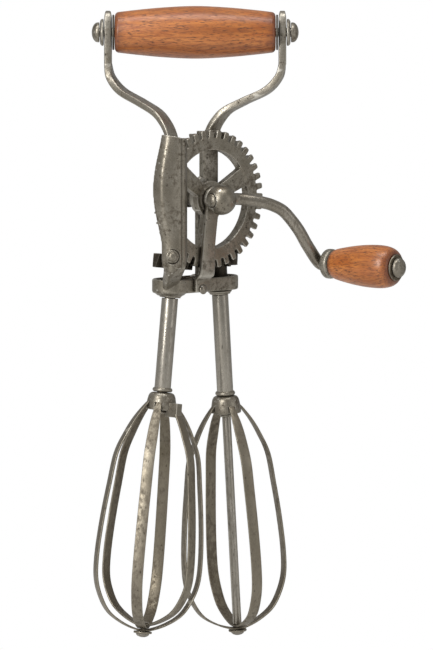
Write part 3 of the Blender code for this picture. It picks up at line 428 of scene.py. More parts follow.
def makeGrip():
    half, low, high = gripSize["half"], gripSize["endRadius"], gripSize["midRadius"]
    swell = [(0.0, 0.0), (0.12, 0.36), (0.3, 0.78), (0.5, 1.0), (0.7, 0.78), (0.88, 0.36), (1.0, 0.0)]
    side = [(mix(low, high, s), half - 2 * half * share) for share, s in flowing(swell, 6)]
    side = [(radius, height) for radius, height in side if abs(height) < half - gripSize["round"]]
    arcSteps = [step * pi / 16 for step in range(9)]
    start, end = side[0][0] - gripSize["round"], half - gripSize["round"]
    crown = [(start + gripSize["round"] * sin(a), end + gripSize["round"] * cos(a)) for a in arcSteps]
    foot = [(radius, -height) for radius, height in reversed(crown)]
    profile = crown + side + foot + [(gripSize["bore"], -half), (gripSize["bore"], half)]
    showPiece("gripBarrel", spunMesh("gripBarrel", profile, 96, 0.3), "frame", gripWood,
              gripPlace, "main_grip", 60)


endSize = {"strapMiddle": 43.4, "strapThick": 3.8, "ferrule": 8.8, "ferruleThick": 0.9, "washer": 6.7,
           "washerThick": 1.8, "nut": 5.0, "nutHigh": 3.8, "nutRim": 0.8, "gap": 0.3}


def domeSide(radius, height, rim, bottom, steps=8):
    side = [(0, bottom + height)]
    for step in range(1, steps):
        angle = step * pi / 2 / steps
        side.append((radius * sin(angle), bottom + rim + (height - rim) * cos(angle)))
    return side + [(radius, bottom + rim * 0.5), (radius - 0.15, bottom)]


def makeGripEnds():
    s = endSize
    bore = gripSize["bore"]
    for side, sign in (("left", -1), ("right", 1)):
        place = Matrix.Rotation(sign * pi / 2, 4, "Y")
        start = gripSize["half"] + s["gap"]
        profile = [(s["ferrule"], start + s["ferruleThick"]), (s["ferrule"], start), (bore, start),
                   (bore, start + s["ferruleThick"])]
        # the ferrules take the near-black iron as painted shade at the grip ends
        showPiece(side + "Ferrule", spunMesh("ferrule", profile), "frame", paintedShadeIron,
                  place, side + "_inner_washer")
        start = s["strapMiddle"] + s["strapThick"] / 2 + s["gap"]
        top = start + s["washerThick"]
        profile = [(s["washer"] - 1.1, top), (s["washer"], top - 0.7), (s["washer"], start),
                   (bore, start), (bore, top)]
        showPiece(side + "Washer", spunMesh("washer", profile, 72, 0.45), "frame",
                  castTin, place, side + "_outer_washer")
        profile = domeSide(s["nut"], s["nutHigh"], s["nutRim"], top + s["gap"])
        profile.append((0, top + s["gap"]))
        showPiece(side + "Nut", spunMesh("nut", profile), "frame", castTin, place,
                  side + "_dome_nut")


makeGrip()
makeGripEnds()
print("grip made")


# Straps and the rear upright

strapSize = {"thick": 3.8, "width": 10.4, "corner": 0.7, "top": 10.8, "straight": 15.4, "bendDrop": 38.6,
             "bend": [(1.0, 0.0), (0.955, 0.175), (0.785, 0.35), (0.475, 0.49), (0.235, 0.61),
                      (0.1, 0.75), (0.03, 0.88), (0.0, 1.0)]}
uprightSize = {"offset": 6.5, "lowOffset": 0.6, "thick": 2.8, "width": 8.6, "lowWidth": 7.0,
               "boss": 6.4, "front": 5.4, "foot": 7.0}
wheelDrop = 82.6
axleBore = 2.9
floorDrop = 125.4
leftStrapSize = {"offset": 28.0, "width": 6.8, "thick": 2.6, "front": 16.05, "end": 113.3}


def strapTopRun(sign, endSpot, endWidth, endThick):
    # rounded top, the straight beside the grip, then the bend in to the gear frame
    s = strapSize
    side = sign * endSize["strapMiddle"]
    run = []
    for step in range(1, 9):
        angle = step * pi / 16
        drop = -s["top"] + s["width"] / 2 * (1 - cos(angle))
        run.append((Vector((side, 0, -drop)), Vector((0, 1, 0)), max(s["width"] * sin(angle), 1.2),
                    s["thick"] * (0.45 + 0.55 * sin(angle))))
    for drop in (0, 6, 11):
        run.append((Vector((side, 0, -drop)), Vector((0, 1, 0)), s["width"], s["thick"]))
    rows = [(mix(endSpot.x, side, across), mix(endSpot.y, 0, across),
             -s["straight"] - s["bendDrop"] * down, down) for across, down in s["bend"]]
    for x, y, z, down in flowing(rows, 7):
        turned = mix(pi / 2, frameTurn, down)
        run.append((Vector((x, y, z)), Vector((cos(turned), sin(turned), 0)),
                    mix(s["width"], endWidth, down), mix(s["thick"], endThick, down)))
    return run


def makeRightStrap():
    u = uprightSize
    depth = u["front"] - u["thick"] / 2
    end = gearPlace @ Vector((u["offset"], -depth, 0))
    run = strapTopRun(1, end, u["width"], u["thick"])
    across = gearPlace.to_3x3() @ Vector((1, 0, 0))
    start = strapSize["straight"] + strapSize["bendDrop"]
    for step in range(1, 72):
        drop = start + (floorDrop - 0.4 - start) * step / 71
        lower = min(max((drop - wheelDrop + u["boss"]) / u["boss"] / 2, 0), 1)
        lower = lower * lower * (3 - 2 * lower)
        centre = mix(u["offset"], u["lowOffset"], lower)
        half = mix(u["width"], u["lowWidth"], lower) / 2
        swell = sqrt(max(u["boss"] ** 2 - (drop - wheelDrop) ** 2, 0))
        low, high = min(centre - half, -swell), max(centre + half, swell)
        spot = gearPlace @ Vector(((low + high) / 2, -depth, -drop))
        run.append((spot, across, high - low, u["thick"]))
    foot = [(gearPlace @ Vector((u["lowOffset"], -depth + 1.2 - step * 1.6, -floorDrop + 1.75)), across,
             u["lowWidth"] + 0.4, 2.7) for step in (0, 1, 2, 3, 3.4)]
    hole = rodMesh(axleBore, -5, 12, crankPlace)
    mesh = cutMesh("rightStrap", barMesh("rightStrap", run, strapSize["corner"]), [(hole, "DIFFERENCE")])
    showPiece("rightStrap", mesh, "frame", castTin, None, "right_strap")
    showPiece("uprightFoot", barMesh("uprightFoot", foot, 0.6), "frame", castTin)


def makeLeftStrap():
    s = leftStrapSize
    depth = s["front"] - s["thick"] / 2
    run = strapTopRun(-1, gearPlace @ Vector((-s["offset"], -depth, 0)), s["width"], s["thick"])
    across = gearPlace.to_3x3() @ Vector((1, 0, 0))
    for drop in (60, 75, 90, s["end"]):
        run.append((gearPlace @ Vector((-s["offset"], -depth, -drop)), across, s["width"], s["thick"]))
    showPiece("leftStrap", barMesh("leftStrap", run, strapSize["corner"]), "frame",
              castTin, None, "left_strap")


makeRightStrap()
makeLeftStrap()
print("straps made")


# Bridge, shield and neck in one casting

bridgeSize = {"endCentre": 16.4, "half": 9.3, "top": 122.0, "bushHole": 4.0, "bushSeat": 6.3,
              "seatTop": 4.1, "voxel": 0.3,
              "levels": [(1.3, 129.2), (0.4, 129.0), (0.0, 128.3), (0.0, 122.9), (0.2, 122.25),
                         (0.8, 122.0), (1.4, 122.15), (1.8, 122.8), (1.9, 124.9), (2.4, 125.4)]}
bossSize = {"top": 127.6, "bottom": 130.5, "wide": 9.1, "narrow": 6.9}  # under the bridge's left end
shieldSize = {"top": 49.0, "bottom": 115.4, "back": 13.3, "left": 34.3, "bulge": 3.6, "lip": 2.3,
              "ridge": 27.2, "right": 20.4, "deep": 7.5, "wall": 1.8, "topSlope": 3.1,
              "cornerRound": 4.6}
neckRun = [(106, -28.6, 17.2, 9.0, 4.6), (110, -28.6, 17.2, 10.6, 5.6), (114, -28.2, 16.8, 10.8, 6.0),
           (117, -27.2, 14.6, 9.9, 5.8), (120, -25.0, 10.8, 9.2, 5.4), (122.5, -22.8, 7.6, 8.8, 4.6),
           (125, -21.0, 5.4, 8.0, 3.0)]
shieldScrew = {"across": 32.0, "deep": 18.9, "drop": 109.2, "radius": 3.3, "high": 1.9, "turn": 27}


def oblongRing(inset, drop, count=24):
    radius = bridgeSize["half"] - inset
    ring = []
    for sign in (1, -1):
        for step in range(count + 1):
            angle = -pi / 2 * sign + pi * step / count
            ring.append((sign * bridgeSize["endCentre"] + radius * cos(angle), radius * sin(angle),
                         -drop))
    return ring


def shieldRing(share):
    # the channel's section: a bowed face, a groove, then a bead down its right side
    s = shieldSize
    drop = mix(s["top"], s["bottom"], share)
    bow = sin(pi * min(share * 1.22, 1)) ** 1.3
    left = -s["left"] - s["bulge"] * bow
    left += s["cornerRound"] * 0.25 * max(share * 12 - 11, 0) ** 2
    right = -s["right"] - s["cornerRound"] * (1 - sqrt(1 - max(share * 14 - 13, 0) ** 2 * 0.96))
    back, wall, ridge = s["back"], s["wall"], s["ridge"]
    edge = back - s["lip"] * bow
    outer = flowing([(left, edge), (left, back + 1.6), (left + 0.9, back + 4.1),
                     ((left - ridge) / 2 - 0.6, back + 6.2), (-ridge - 1.6, back + s["deep"]),
                     (-ridge - 0.5, back + s["deep"] - 0.1), (-ridge, back + s["deep"] - 0.75),
                     (-ridge + 0.6, back + s["deep"] - 0.3), (-ridge + 1.9, back + s["deep"] - 0.1),
                     (mix(-ridge, right, 0.62), back + 6.2), (right - 0.8, back + 4.4),
                     (right, back + 2.6), (right, back)], 4)
    inner = flowing([(right - wall, back), (right - wall - 0.2, back + 2.4), (-ridge + 1, back + 4.9),
                     (-ridge - 1, back + s["deep"] - wall - 0.3), (left + wall + 1.2, back + 3.7),
                     (left + wall, back + 1.2), (left + wall, edge)], 4)
    slope = s["topSlope"] / (s["left"] - s["right"]) * max(0, 1 - share * 14)
    return [(x, -y, -drop - slope * (x + s["left"])) for x, y in outer + inner]


def bossMesh():
    b = bossSize
    profile = [(0, -b["top"]), (b["wide"], -b["top"]), (b["wide"], -b["top"] - 0.8),
               (b["narrow"], -b["bottom"] + 0.4), (b["narrow"] - 0.4, -b["bottom"]), (0, -b["bottom"])]
    mesh = spunMesh("boss", profile, 64, 0.3)
    mesh.transform(Matrix.Translation((-bridgeSize["endCentre"] * mm, 0, 0)))
    return mesh


def makeCasting():
    bridge = loftedMesh("bridge", [oblongRing(inset, drop) for inset, drop in bridgeSize["levels"]])
    shield = loftedMesh("shield", [shieldRing(step / 56) for step in range(57)])
    run = [(Vector((x, -deep, -drop)), Vector((1, 0, 0)), wide, thick)
           for drop, x, deep, wide, thick in flowing(neckRun, 5)]
    neck = barMesh("neck", run, 2.0)
    skin = castSkin("gearFrame", [bridge, bossMesh(), shield, neck], bridgeSize["voxel"])
    skin.transform(gearPlace)
    s = shieldScrew
    seat = Matrix.Translation((-s["across"] * mm, -s["deep"] * mm, -s["drop"] * mm))
    seat = gearPlace @ seat @ Matrix.Rotation(-radians(s["turn"]), 4, "Z")
    seat = seat @ Matrix.Rotation(pi / 2, 4, "X")
    tools = [(rodMesh(s["radius"] + 0.5, -0.35, 6, seat), "DIFFERENCE")]
    for side in ("left", "right"):
        tools.append((rodMesh(bridgeSize["bushHole"], -12, 4, whiskPlace[side]), "DIFFERENCE"))
        tools.append((rodMesh(bridgeSize["bushSeat"], -9, -bridgeSize["seatTop"], whiskPlace[side]),
                      "DIFFERENCE"))
    mesh = cutMesh("gearFrame", skin, tools)
    showPiece("gearFrame", mesh, "frame", castTin, None, "frame_casting", 50)
    profile = [(0, s["high"])] + domeSide(s["radius"] * 0.72, s["high"], 0.5, 0)[1:-2]
    profile += [(s["radius"] * 0.74, 0.55), (s["radius"] - 0.3, 0.45), (s["radius"], 0.1),
                (s["radius"], -0.5), (0, -0.5)]
    showPiece("shieldScrew", spunMesh("shieldScrew", profile), "frame", castTin, seat,
              "shield_screw")


makeCasting()
print("casting made")


# Front arm, its screw and the bushes

armSize = {"back": 12.85, "thick": 2.2, "width": 8.2, "lean": 5.6, "boss": 6.4, "wall": 9.6,
           "foot": 128.6}
bushSize = {"bore": 2.9, "neck": 3.7, "top": 1.0, "flange": 6.0, "flangeTop": 4.4, "step": 5.3,
            "low": 6.2}


def makeArm():
    a = armSize
    depths = flowing([(76.2, a["back"]), (100, a["back"]), (118.0, a["back"]), (120.6, 11.2),
                      (122.6, a["wall"]), (125.5, a["wall"]), (a["foot"], a["wall"])], 8)
    run = []
    for drop, back in depths:
        share = min(max((drop - wheelDrop) / (bridgeSize["top"] - wheelDrop), 0), 1)
        centre = -a["lean"] * share ** 0.7
        half = a["width"] / 2 if drop > wheelDrop else 1.4
        swell = sqrt(max(a["boss"] ** 2 - (drop - wheelDrop) ** 2, 0))
        low, high = min(centre - half, -swell), max(centre + half, swell)
        run.append((Vector(((low + high) / 2, -back - a["thick"] / 2, -drop)), Vector((1, 0, 0)),
                    high - low, a["thick"]))
    mesh = barMesh("frontArm", run, 0.8)
    mesh.transform(gearPlace)
    mesh = cutMesh("frontArm", mesh, [(rodMesh(axleBore, 8, 20, crankPlace), "DIFFERENCE")])
    showPiece("frontArm", mesh, "frame", castTin, None, "front_arm")
    seat = Matrix.Translation((-a["lean"] * mm, 0, -127.3 * mm)) @ Matrix.Rotation(pi / 2, 4, "X")
    profile = domeSide(2.5, 1.5, 0.2, a["wall"] + a["thick"] + 0.2) + [(0, a["wall"] + 1)]
    showPiece("armScrew", spunMesh("armScrew", profile, 48), "frame", rodSteel,
              gearPlace @ seat, "arm_screw")


def makeBushes():
    b = bushSize
    for side in ("left", "right"):
        profile = [(b["neck"], b["top"]), (b["neck"], -b["flangeTop"]), (b["flange"], -b["flangeTop"]),
                   (b["flange"], -5.1), (b["step"], -5.5), (b["step"], -6.0), (5.0, -b["low"]),
                   (b["bore"], -b["low"]), (b["bore"], b["top"])]
        showPiece(side + "Bush", spunMesh("bush", profile, 72, 0.2), "frame", castTin,
                  whiskPlace[side], side + "_bush")


makeArm()
makeBushes()
print("arm and bushes made")


# Toothed wheel

wheelSize = {"teeth": 40, "tip": 34.6, "frontRoot": 30.4, "backRoot": 28.8, "rimInner": 24.6,
             "back": 7.4, "thick": 5.0, "hub": 7.0, "hubBack": 1.7, "windowInner": 9.2,
             "webFront": 0.35, "webBack": 0.9, "spokes": 3, "spokeTurn": 25, "spokeHub": 7.4,
             "spokeRim": 9.6, "fullDepth": 0.26, "thinDepth": 0.5, "voxel": 0.26}


def toothRing(share, inset):
    # teeth are rounded blocks in front and thin out behind, where the pinions enter; share 0 is the front
    s = wheelSize
    pitch = 2 * pi / s["teeth"]
    root = mix(s["frontRoot"] + 0.3, s["backRoot"], share) - inset
    tip = s["tip"] - inset
    thin = min(max((share - s["fullDepth"]) / (s["thinDepth"] - s["fullDepth"]), 0), 1)
    rootHalf = mix(radians(3.0), radians(mix(2.9, 1.5, share)), thin)
    tipHalf = mix(radians(2.35), radians(mix(1.55, 0.9, share)), thin)
    height = s["back"] + s["thick"] * (1 - share)
    flankHalf = mix(rootHalf, tipHalf, 0.5)
    middleRadius = mix(root, tip, 0.5)
    flank = [(-pitch / 2, root), (-rootHalf, root + 0.15), (-flankHalf, middleRadius),
             (-tipHalf, tip - 0.55), (-tipHalf * 0.7, tip - 0.05), (tipHalf * 0.7, tip - 0.05),
             (tipHalf, tip - 0.55), (flankHalf, middleRadius), (rootHalf, root + 0.15)]
    ring = []
    for tooth in range(s["teeth"]):
        middle = pitch * tooth - pi / 2
        ring += [(radius * cos(middle + angle), radius * sin(middle + angle), height)
                 for angle, radius in flank]
    return ring


def windowMesh(index):
    s = wheelSize
    start = radians(s["spokeTurn"]) + 2 * pi * index / s["spokes"]
    end = start + 2 * pi / s["spokes"]
    hubShare = s["spokeHub"] / 2 / s["windowInner"]
    rimShare = s["spokeRim"] / 2 / s["rimInner"]
    path = []
    for step in range(25):
        angle = mix(start + rimShare, end - rimShare, step / 24)
        path.append((s["rimInner"] * cos(angle), s["rimInner"] * sin(angle)))
    for step in range(13):
        angle = mix(end - hubShare, start + hubShare, step / 12)
        path.append((s["windowInner"] * cos(angle), s["windowInner"] * sin(angle)))
    path = softened(path, 3.0, True)
    heights = (s["back"] - 3, s["back"] + s["thick"] + 3)
    return loftedMesh("window", [[(x, y, h) for x, y in path] for h in heights])


def ringMesh(inner, outer, low, high):
    return spunMesh("ring", [(outer, high), (outer, low), (inner, low), (inner, high)], 96, 0)


def makeWheel():
    s = wheelSize
    front = s["back"] + s["thick"]
    levels = ((0, 0.35), (0.06, 0), (0.26, 0), (0.38, 0), (0.5, 0), (0.7, 0), (0.94, 0), (1, 0.3))
    rings = [toothRing(share, inset) for share, inset in levels]
    tools = [(windowMesh(i), "DIFFERENCE") for i in range(s["spokes"])]
    tools.append((ringMesh(s["hub"], s["rimInner"], front - s["webFront"], front + 3), "DIFFERENCE"))
    tools.append((ringMesh(s["hub"], s["rimInner"], s["back"] - 3, s["back"] + s["webBack"]),
                  "DIFFERENCE"))
    tools.append((rodMesh(s["hub"], s["back"] - s["hubBack"], s["back"] + 3), "UNION"))
    tools.append((rodMesh(axleBore, s["back"] - 6, front + 3), "DIFFERENCE"))
    mesh = cutMesh("toothedWheel", loftedMesh("toothedWheel", rings), tools)
    skin = castSkin("toothedWheel", [mesh], s["voxel"])
    showPiece("toothedWheel", skin, "crank", castTin, crankPlace, "drive_wheel", 60)


makeWheel()
print("wheel made")


# Crank hub, crank rod and knob

hubSize = {"centre": 19.45, "radius": 7.5, "flat": 4.1, "pin": 3.4, "pinHigh": 2.2}
crankSize = {"rod": 3.0, "reach": 52.3, "drop": 33.3, "lean": 20.4, "bend": 4.4}
crankPath = [(0.2, 0.0, 0.0), (0.32, 0.19, 0.024), (0.42, 0.34, 0.06), (0.505, 0.44, 0.105),
             (0.6, 0.54, 0.19), (0.68, 0.63, 0.335), (0.755, 0.71, 0.505), (0.835, 0.78, 0.725)]


def makeHub():
    s = hubSize
    profile = []
    for step in range(25):
        height = s["radius"] * cos(pi * step / 24)
        if height > -s["flat"]:
            profile.append((s["radius"] * sin(pi * step / 24), s["centre"] + height))
    edge = sqrt(s["radius"] ** 2 - s["flat"] ** 2)
    profile += [(edge, s["centre"] - s["flat"]), (0, s["centre"] - s["flat"])]
    across = Matrix.Translation((0, 0, s["centre"] * mm)) @ Matrix.Rotation(pi / 2, 4, "Y")
    seat = sqrt(s["radius"] ** 2 - (s["pin"] + 0.3) ** 2) - 0.6
    tools = [(rodMesh(crankSize["rod"] + 0.3, 3, 12, across), "DIFFERENCE"),
             (rodMesh(s["pin"] + 0.35, -12, -seat, across), "DIFFERENCE")]
    mesh = cutMesh("crankHub", spunMesh("crankHub", profile, 72, 0.4), tools)
    showPiece("crankHub", mesh, "crank", castTin, crankPlace, "crank_hub")
    away = Matrix.Translation((0, 0, s["centre"] * mm)) @ Matrix.Rotation(-pi / 2, 4, "Y")
    profile = domeSide(s["pin"], s["pinHigh"], 0.5, seat + 0.2) + [(0, seat)]
    showPiece("hubPin", spunMesh("hubPin", profile), "crank", castTin,
              crankPlace @ away, "crank_hub_pin")


def makeCrankRod():
    s = crankSize
    splay = Vector(joints["knob_spin"]["axis"]).angle(outward)
    base = Vector((s["reach"], -s["drop"], hubSize["centre"] + s["lean"]))
    axis = Vector((sin(splay), 0, cos(splay)))
    path = [(3.2, 0, hubSize["centre"])]
    for reach, lean, drop in crankPath:
        path.append((max(s["reach"] * reach, 3.6), -s["drop"] * drop,
                     hubSize["centre"] + s["lean"] * lean))
    path += [tuple(base - axis * s["bend"] * 0.95), tuple(base + axis * 0.6)]
    tail = base + axis * (knobSize["ferruleLong"] + knobSize["long"] + knobSize["washerThick"])
    rows = flowing(path, 7) + [tuple(mix(base, tail, 0.3)), tuple(mix(base, tail, 0.7)), tuple(tail)]
    showPiece("crankRod", tubeMesh("crankRod", rows, s["rod"], 32), "crank", rodSteel,
              crankPlace, "crank_rod", 60)


def makeKnob():
    s = knobSize
    long = s["ferruleLong"]
    profile = [(s["ferrule"] - 1.2, long), (s["ferrule"], long - 1.1), (s["ferrule"], 1.1),
               (s["ferrule"] - 1.2, 0), (s["bore"], 0), (s["bore"], long)]
    showPiece("knobFerrule", spunMesh("knobFerrule", profile, 72, 0.6), "knob",
              castTin, knobPlace, "knob_ferrule")
    low = long + s["gap"]
    swell = [(0.0, 0.0), (0.05, 0.2), (0.16, 0.43), (0.32, 0.7), (0.5, 0.91), (0.68, 1.0), (0.82, 0.95),
             (0.92, 0.73), (0.975, 0.4), (1.0, 0.0)]
    side = [(mix(mix(s["start"], s["end"], share), s["widest"], grown), low + s["long"] * share)
            for share, grown in flowing(swell, 6)]
    side.reverse()
    profile = side + [(s["bore"], low), (s["bore"], low + s["long"])]
    showPiece("knobBarrel", spunMesh("knobBarrel", profile, 96, 0.7), "knob", knobWood,
              knobPlace, "knob_wood", 60)
    low = low + s["long"] + s["gap"]
    top = low + s["washerThick"]
    profile = [(s["washer"] - 0.4, top), (s["washer"], top - 0.3), (s["washer"], low), (s["bore"], low),
               (s["bore"], top)]
    showPiece("knobWasher", spunMesh("knobWasher", profile), "crank", bladeSteel,
              knobPlace, "knob_washer")
    profile = domeSide(s["nut"], s["nutHigh"], 0.5, top + s["gap"]) + [(0, top + s["gap"])]
    showPiece("knobNut", spunMesh("knobNut", profile), "crank", castTin, knobPlace,
              "knob_nut")


makeHub()
makeCrankRod()
makeKnob()
print("crank made")


# Shafts, cones and whisks

whiskSize = {"shaft": 4.1, "neck": 2.6, "shoulder": 6.5, "ring": 5.0, "ringHigh": 2.0, "coneTop": 6.1,
             "coneMid": 7.1, "coneBottom": 7.5, "coneHigh": 8.8, "tenon": 5.3, "slotOpen": 3.9,
             "collar": 3.5, "rod": 2.2, "coneBore": 2.9, "rivet": 3.4, "rivetHigh": 1.8, "washer": 4.6,
             "washerThick": 1.0, "shank": 1.3, "coneVoxel": 0.16, "pinionVoxel": 0.22}
bladeSize = {"span": 27.45, "drop": 110.0, "width": 5.6, "tangWidth": 2.7, "thick": 0.9, "tangDepth": 7.2,
             "tangRadius": 5.5, "step": 1.3, "slotWidth": 4.0, "slotInner": 4.9,
             "run": [(-0.009, 0.335, 0.3), (0.045, 0.488, 0.72), (0.113, 0.634, 0.94), (0.208, 0.79, 1.0),
                     (0.342, 0.872, 1.0), (0.5, 0.952, 1.0), (0.66, 1.0, 1.0), (0.775, 0.982, 1.0),
                     (0.862, 0.864, 1.0), (0.928, 0.685, 0.97), (0.973, 0.41, 0.93), (0.998, 0.14, 0.9)]}
ringDrop = {"left": 51.2, "right": 55.6}
loopTurns = {"left": (-22, 38, 98), "right": (-18, 72)}


def makeShaft(side):
    s = whiskSize
    ringTop = -ringDrop[side]
    coneTop = ringTop - s["ringHigh"] - 0.3
    profile = [(0, 17.2), (1.9, 17.2), (s["neck"], 16.6), (s["neck"], -s["shoulder"]),
               (s["shaft"], -s["shoulder"]), (s["shaft"], coneTop + 0.3), (s["neck"], coneTop + 0.3),
               (s["neck"], coneTop - s["tenon"]), (0, coneTop - s["tenon"])]
    body = side + "_whisk"
    showPiece(side + "Shaft", spunMesh("shaft", profile), body, rodSteel,
              whiskPlace[side], side + "_shaft")
    low = ringTop - s["ringHigh"]
    bore = s["shaft"] + 0.05
    profile = [(bore, ringTop), (s["ring"] - 0.5, ringTop), (s["ring"], ringTop - 0.7),
               (s["ring"], low + 0.6), (s["ring"] - 0.5, low), (bore, low)]
    profile = profile[1:] + profile[:1]
    showPiece(side + "Ring", spunMesh("ring", profile, 72, 0.4), body, castTin,
              whiskPlace[side], side + "_shaft_ring")
    return coneTop


def makeCone(side, coneTop):
    s = whiskSize
    bottom = coneTop - s["coneHigh"]
    profile = [(s["coneTop"] - 1.4, coneTop), (s["coneTop"] - 0.2, coneTop - 0.5),
               (s["coneTop"] + 0.6, coneTop - 1.8), (s["coneMid"] + 0.05, coneTop - 4.0),
               (s["coneBottom"], coneTop - 6.4), (s["coneBottom"], bottom + 0.2),
               (s["coneBottom"] - 0.3, bottom), (s["coneBore"], bottom), (s["coneBore"], coneTop)]
    tools = []
    for turn in loopTurns[side]:
        for half in (0, pi):
            for outer, high in ((6.2, bladeSize["tangDepth"] + 0.3), (12, s["slotOpen"])):
                inner, wide = bladeSize["slotInner"], bladeSize["slotWidth"] / 2
                corners = [(inner, -wide), (outer, -wide), (outer, wide), (inner, wide)]
                slot = loftedMesh("slot", [[(x, y, h) for x, y in corners] for h in (bottom - 3,
                                                                                     bottom + high)])
                slot.transform(Matrix.Rotation(radians(turn) + half, 4, "Z"))
                tools.append((slot, "DIFFERENCE"))
    mesh = cutMesh("cone", spunMesh("cone", profile, 96, 0.7), tools)
    skin = castSkin("cone", [mesh], s["coneVoxel"], 2)
    showPiece(side + "Cone", skin, side + "_whisk", castTin, whiskPlace[side],
              side + "_cone", 60)
    return bottom


def makeLoop(side, letter, bottom, turn, level):
    s = bladeSize
    rows = [(s["tangRadius"], bottom + s["tangDepth"], s["tangWidth"]),
            (s["tangRadius"] + 0.3, bottom + s["tangDepth"] * 0.7, s["tangWidth"])]
    for down, out, wide in s["run"]:
        lift = s["step"] * level * min(max((down - 0.75) * 5, 0), 1)
        rows.append((s["span"] * out, bottom - s["drop"] * down + lift,
                     mix(s["tangWidth"], s["width"], wide)))
    lowest = bottom - s["drop"] + s["step"] * level
    rows.append((0, lowest, rows[-1][2]))
    rows += [(-radius, height, width) for radius, height, width in reversed(rows[:-1])]
    run = [(Vector((radius, 0, height)), Vector((0, 1, 0)), width, s["thick"])
           for radius, height, width in flowing(rows, 6)]
    mesh = barMesh("loop", run, 0.38, 3)
    mesh.transform(Matrix.Rotation(radians(turn), 4, "Z"))
    name = side + "_loop_" + letter
    showPiece(side + "Loop" + letter.upper(), mesh, side + "_whisk", bladeSteel,
              whiskPlace[side], name, 60)


def makeWhiskEnds(side, bottom):
    s = whiskSize
    body = side + "_whisk"
    stackTop = bottom - bladeSize["drop"] + bladeSize["step"] * (len(loopTurns[side]) - 1) + 0.45
    washerTop = bottom - bladeSize["drop"] - 0.75
    headTop = washerTop - s["washerThick"] - 0.2
    collar = [(s["collar"] - 0.5, bottom - 0.3), (s["collar"], bottom - 0.7),
              (s["collar"], bottom - 1.3), (s["collar"] - 0.5, bottom - 1.9)]
    head = [(s["rivet"], headTop), (s["rivet"] * 0.95, headTop - 0.6), (s["rivet"] * 0.7, headTop - 1.3),
            (s["rivet"] * 0.35, headTop - 1.7), (0, headTop - s["rivetHigh"])]
    if side == "right":
        profile = collar + [(s["rod"] + 0.05, bottom - 1.9), (s["rod"] + 0.05, bottom - 0.3)]
        showPiece("rightCollar", spunMesh("collar", profile, 64, 0.3), body, castTin,
                  whiskPlace[side], "right_collar")
        profile = [(0, bottom + 2.6), (s["rod"], bottom + 2.6), (s["rod"], stackTop + 0.2),
                   (s["shank"], stackTop + 0.2)]
        name, node = "centreRod", "right_centre_rod"
    else:
        profile = [(0, bottom + 2.6), (s["rod"], bottom + 2.6),
                   (s["rod"], bottom - 0.3)] + collar + [(0, bottom - 1.9)]
        showPiece("leftPlug", spunMesh("plug", profile, 64, 0.3), body, castTin,
                  whiskPlace[side], "left_cone_plug")
        profile = [(0, stackTop + 1.2), (s["rivet"] * 0.8, stackTop + 1.0),
                   (s["rivet"] * 0.8, stackTop + 0.2), (s["shank"], stackTop + 0.2)]
        name, node = "loopRivet", "left_loop_rivet"
    profile = profile + [(s["shank"], headTop)] + head
    showPiece(name, spunMesh(name, profile, 56, 0.3), body, rodSteel, whiskPlace[side],
              node)
    profile = [(s["washer"], washerTop), (s["washer"], washerTop - s["washerThick"]),
               (1.6, washerTop - s["washerThick"]), (1.6, washerTop)]
    showPiece(side + "LoopWasher", spunMesh("loopWasher", profile, 64, 0.35), body,
              bladeSteel, whiskPlace[side], side + "_loop_washer")


def makePinion(side):
    mesh = frame["nodes"][side + "_pinion"].data.copy()
    skin = castSkin("pinion", [mesh], whiskSize["pinionVoxel"], 2)
    # the pinions take the near-black iron as painted shade where they sit under the frame
    showPiece(side + "Pinion", skin, side + "_whisk", paintedShadeIron, None, side + "_pinion", 60)


for side in ("left", "right"):
    top = makeShaft(side)
    bottom = makeCone(side, top)
    for level, turn in enumerate(loopTurns[side]):
        makeLoop(side, "abc"[level], bottom, turn, level)
    makeWhiskEnds(side, bottom)
    makePinion(side)
    print(side, "whisk made")


# Nodes that stay as they are packed

# the axle spool also takes the near-black iron of painted shade
plainNodes = {"grip_rod": rodSteel, "axle": rodSteel, "axle_spool": paintedShadeIron, "upright_rivet": rodSteel,
              "left_thrust_washer": rodSteel, "right_thrust_washer": rodSteel}
for name, material in plainNodes.items():
    data = frame["nodes"][name].data
    data.materials.clear()
    data.materials.append(material)
    data.shade_smooth()
    data.set_sharp_from_angle(angle=radians(40))
print("small packed pieces dressed")


# Floor, light and camera

studio = {"floorDrop": 330, "floorSize": 16.0, "floorColour": (0.86, 0.86, 0.85, 1), "floorRough": 0.9,
          "worldLevel": 0.26, "glossyShare": 0.22}
lamps = {"keyBox": {"spot": (-0.70, -1.05, 0.45), "size": (0.30, 1.0), "power": 13.0},
         "fillBox": {"spot": (1.1, -0.6, 0.1), "size": (0.5, 0.9), "power": 1.2},
         "topBox": {"spot": (0.0, -0.25, 1.0), "size": (0.9, 0.4), "power": 6.0}}
lampAim = (0.01, 0, -0.15)


def seenShare(tree):
    # the camera sees plain white, and so does glass, while gloss sees a share of it
    rays = addNode(tree, "LightPath")
    gloss = times(tree, rays.outputs["Is Glossy Ray"], studio["glossyShare"])
    seen = times(tree, rays.outputs["Is Camera Ray"], gloss, "ADD")
    return times(tree, seen, rays.outputs["Is Transmission Ray"], "ADD")


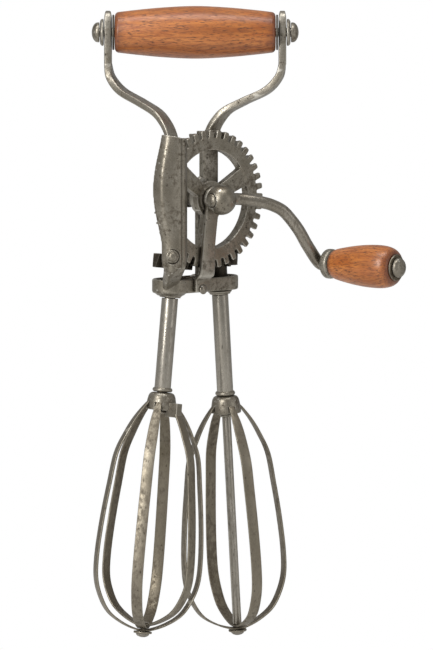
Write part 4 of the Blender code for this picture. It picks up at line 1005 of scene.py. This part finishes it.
def makeFloor():
    half = studio["floorSize"] / 2
    mesh = bpy.data.meshes.new("studioFloor")
    low = -studio["floorDrop"] * mm
    mesh.from_pydata([(-half, -half, low), (half, -half, low), (half, half * 3, low),
                      (-half, half * 3, low)], [],
                     [(0, 1, 2, 3)])
    floor = bpy.data.objects.new("studioFloor", mesh)
    bpy.context.scene.collection.objects.link(floor)
    material, tree, shader = treeFor("paleFloor")
    shader.inputs["Base Color"].default_value = studio["floorColour"]
    shader.inputs["Roughness"].default_value = studio["floorRough"]
    glow = addNode(tree, "Emission", {"Color": (1, 1, 1, 1), "Strength": 1.0})
    blend = addNode(tree, "MixShader", {0: seenShare(tree), 1: shader.outputs[0], 2: glow.outputs[0]})
    tree.links.new(blend.outputs[0], tree.nodes["Material Output"].inputs["Surface"])
    mesh.materials.append(material)


def makeWorld():
    world = bpy.data.worlds.new("studioWorld")
    bpy.context.scene.world = world
    world.use_nodes = True
    tree = world.node_tree
    back = tree.nodes["Background"]
    strength = addNode(tree, "MapRange", {"Value": seenShare(tree), "To Min": studio["worldLevel"],
                                          "To Max": 1.0})
    tree.links.new(strength.outputs["Result"], back.inputs["Strength"])
    back.inputs["Color"].default_value = (1, 1, 1, 1)


def makeLights():
    for name, lamp in lamps.items():
        light = bpy.data.lights.new(name, "AREA")
        light.shape = "RECTANGLE"
        light.size, light.size_y = lamp["size"]
        light.energy = lamp["power"]
        softbox = bpy.data.objects.new(name, light)
        bpy.context.scene.collection.objects.link(softbox)
        softbox.location = lamp["spot"]
        softbox.rotation_euler = (Vector(lampAim) - Vector(lamp["spot"])).to_track_quat("-Z", "Y").to_euler()


cameraView = {"elevation": 5.3, "distance": 3.0, "aim": (10.6, 0.0, -146.3), "frameHeight": 325.0,
              "sensor": 36, "clip": (0.05, 60)}


def makeCamera():
    lens = bpy.data.cameras.new("studioCamera")
    camera = bpy.data.objects.new("studioCamera", lens)
    bpy.context.scene.collection.objects.link(camera)
    tilt = radians(cameraView["elevation"])
    aim = Vector(cameraView["aim"]) * mm
    look = Vector((0, cos(tilt), -sin(tilt)))
    camera.location = aim - look * cameraView["distance"]
    camera.rotation_euler = look.to_track_quat("-Z", "Y").to_euler()
    lens.sensor_width = cameraView["sensor"]
    lens.lens = lens.sensor_width * cameraView["distance"] / (cameraView["frameHeight"] * mm)
    lens.clip_start, lens.clip_end = cameraView["clip"]
    bpy.context.scene.camera = camera


makeFloor()
makeWorld()
makeLights()
makeCamera()
bpy.context.scene.view_settings.view_transform = "Standard"
print("studio made")
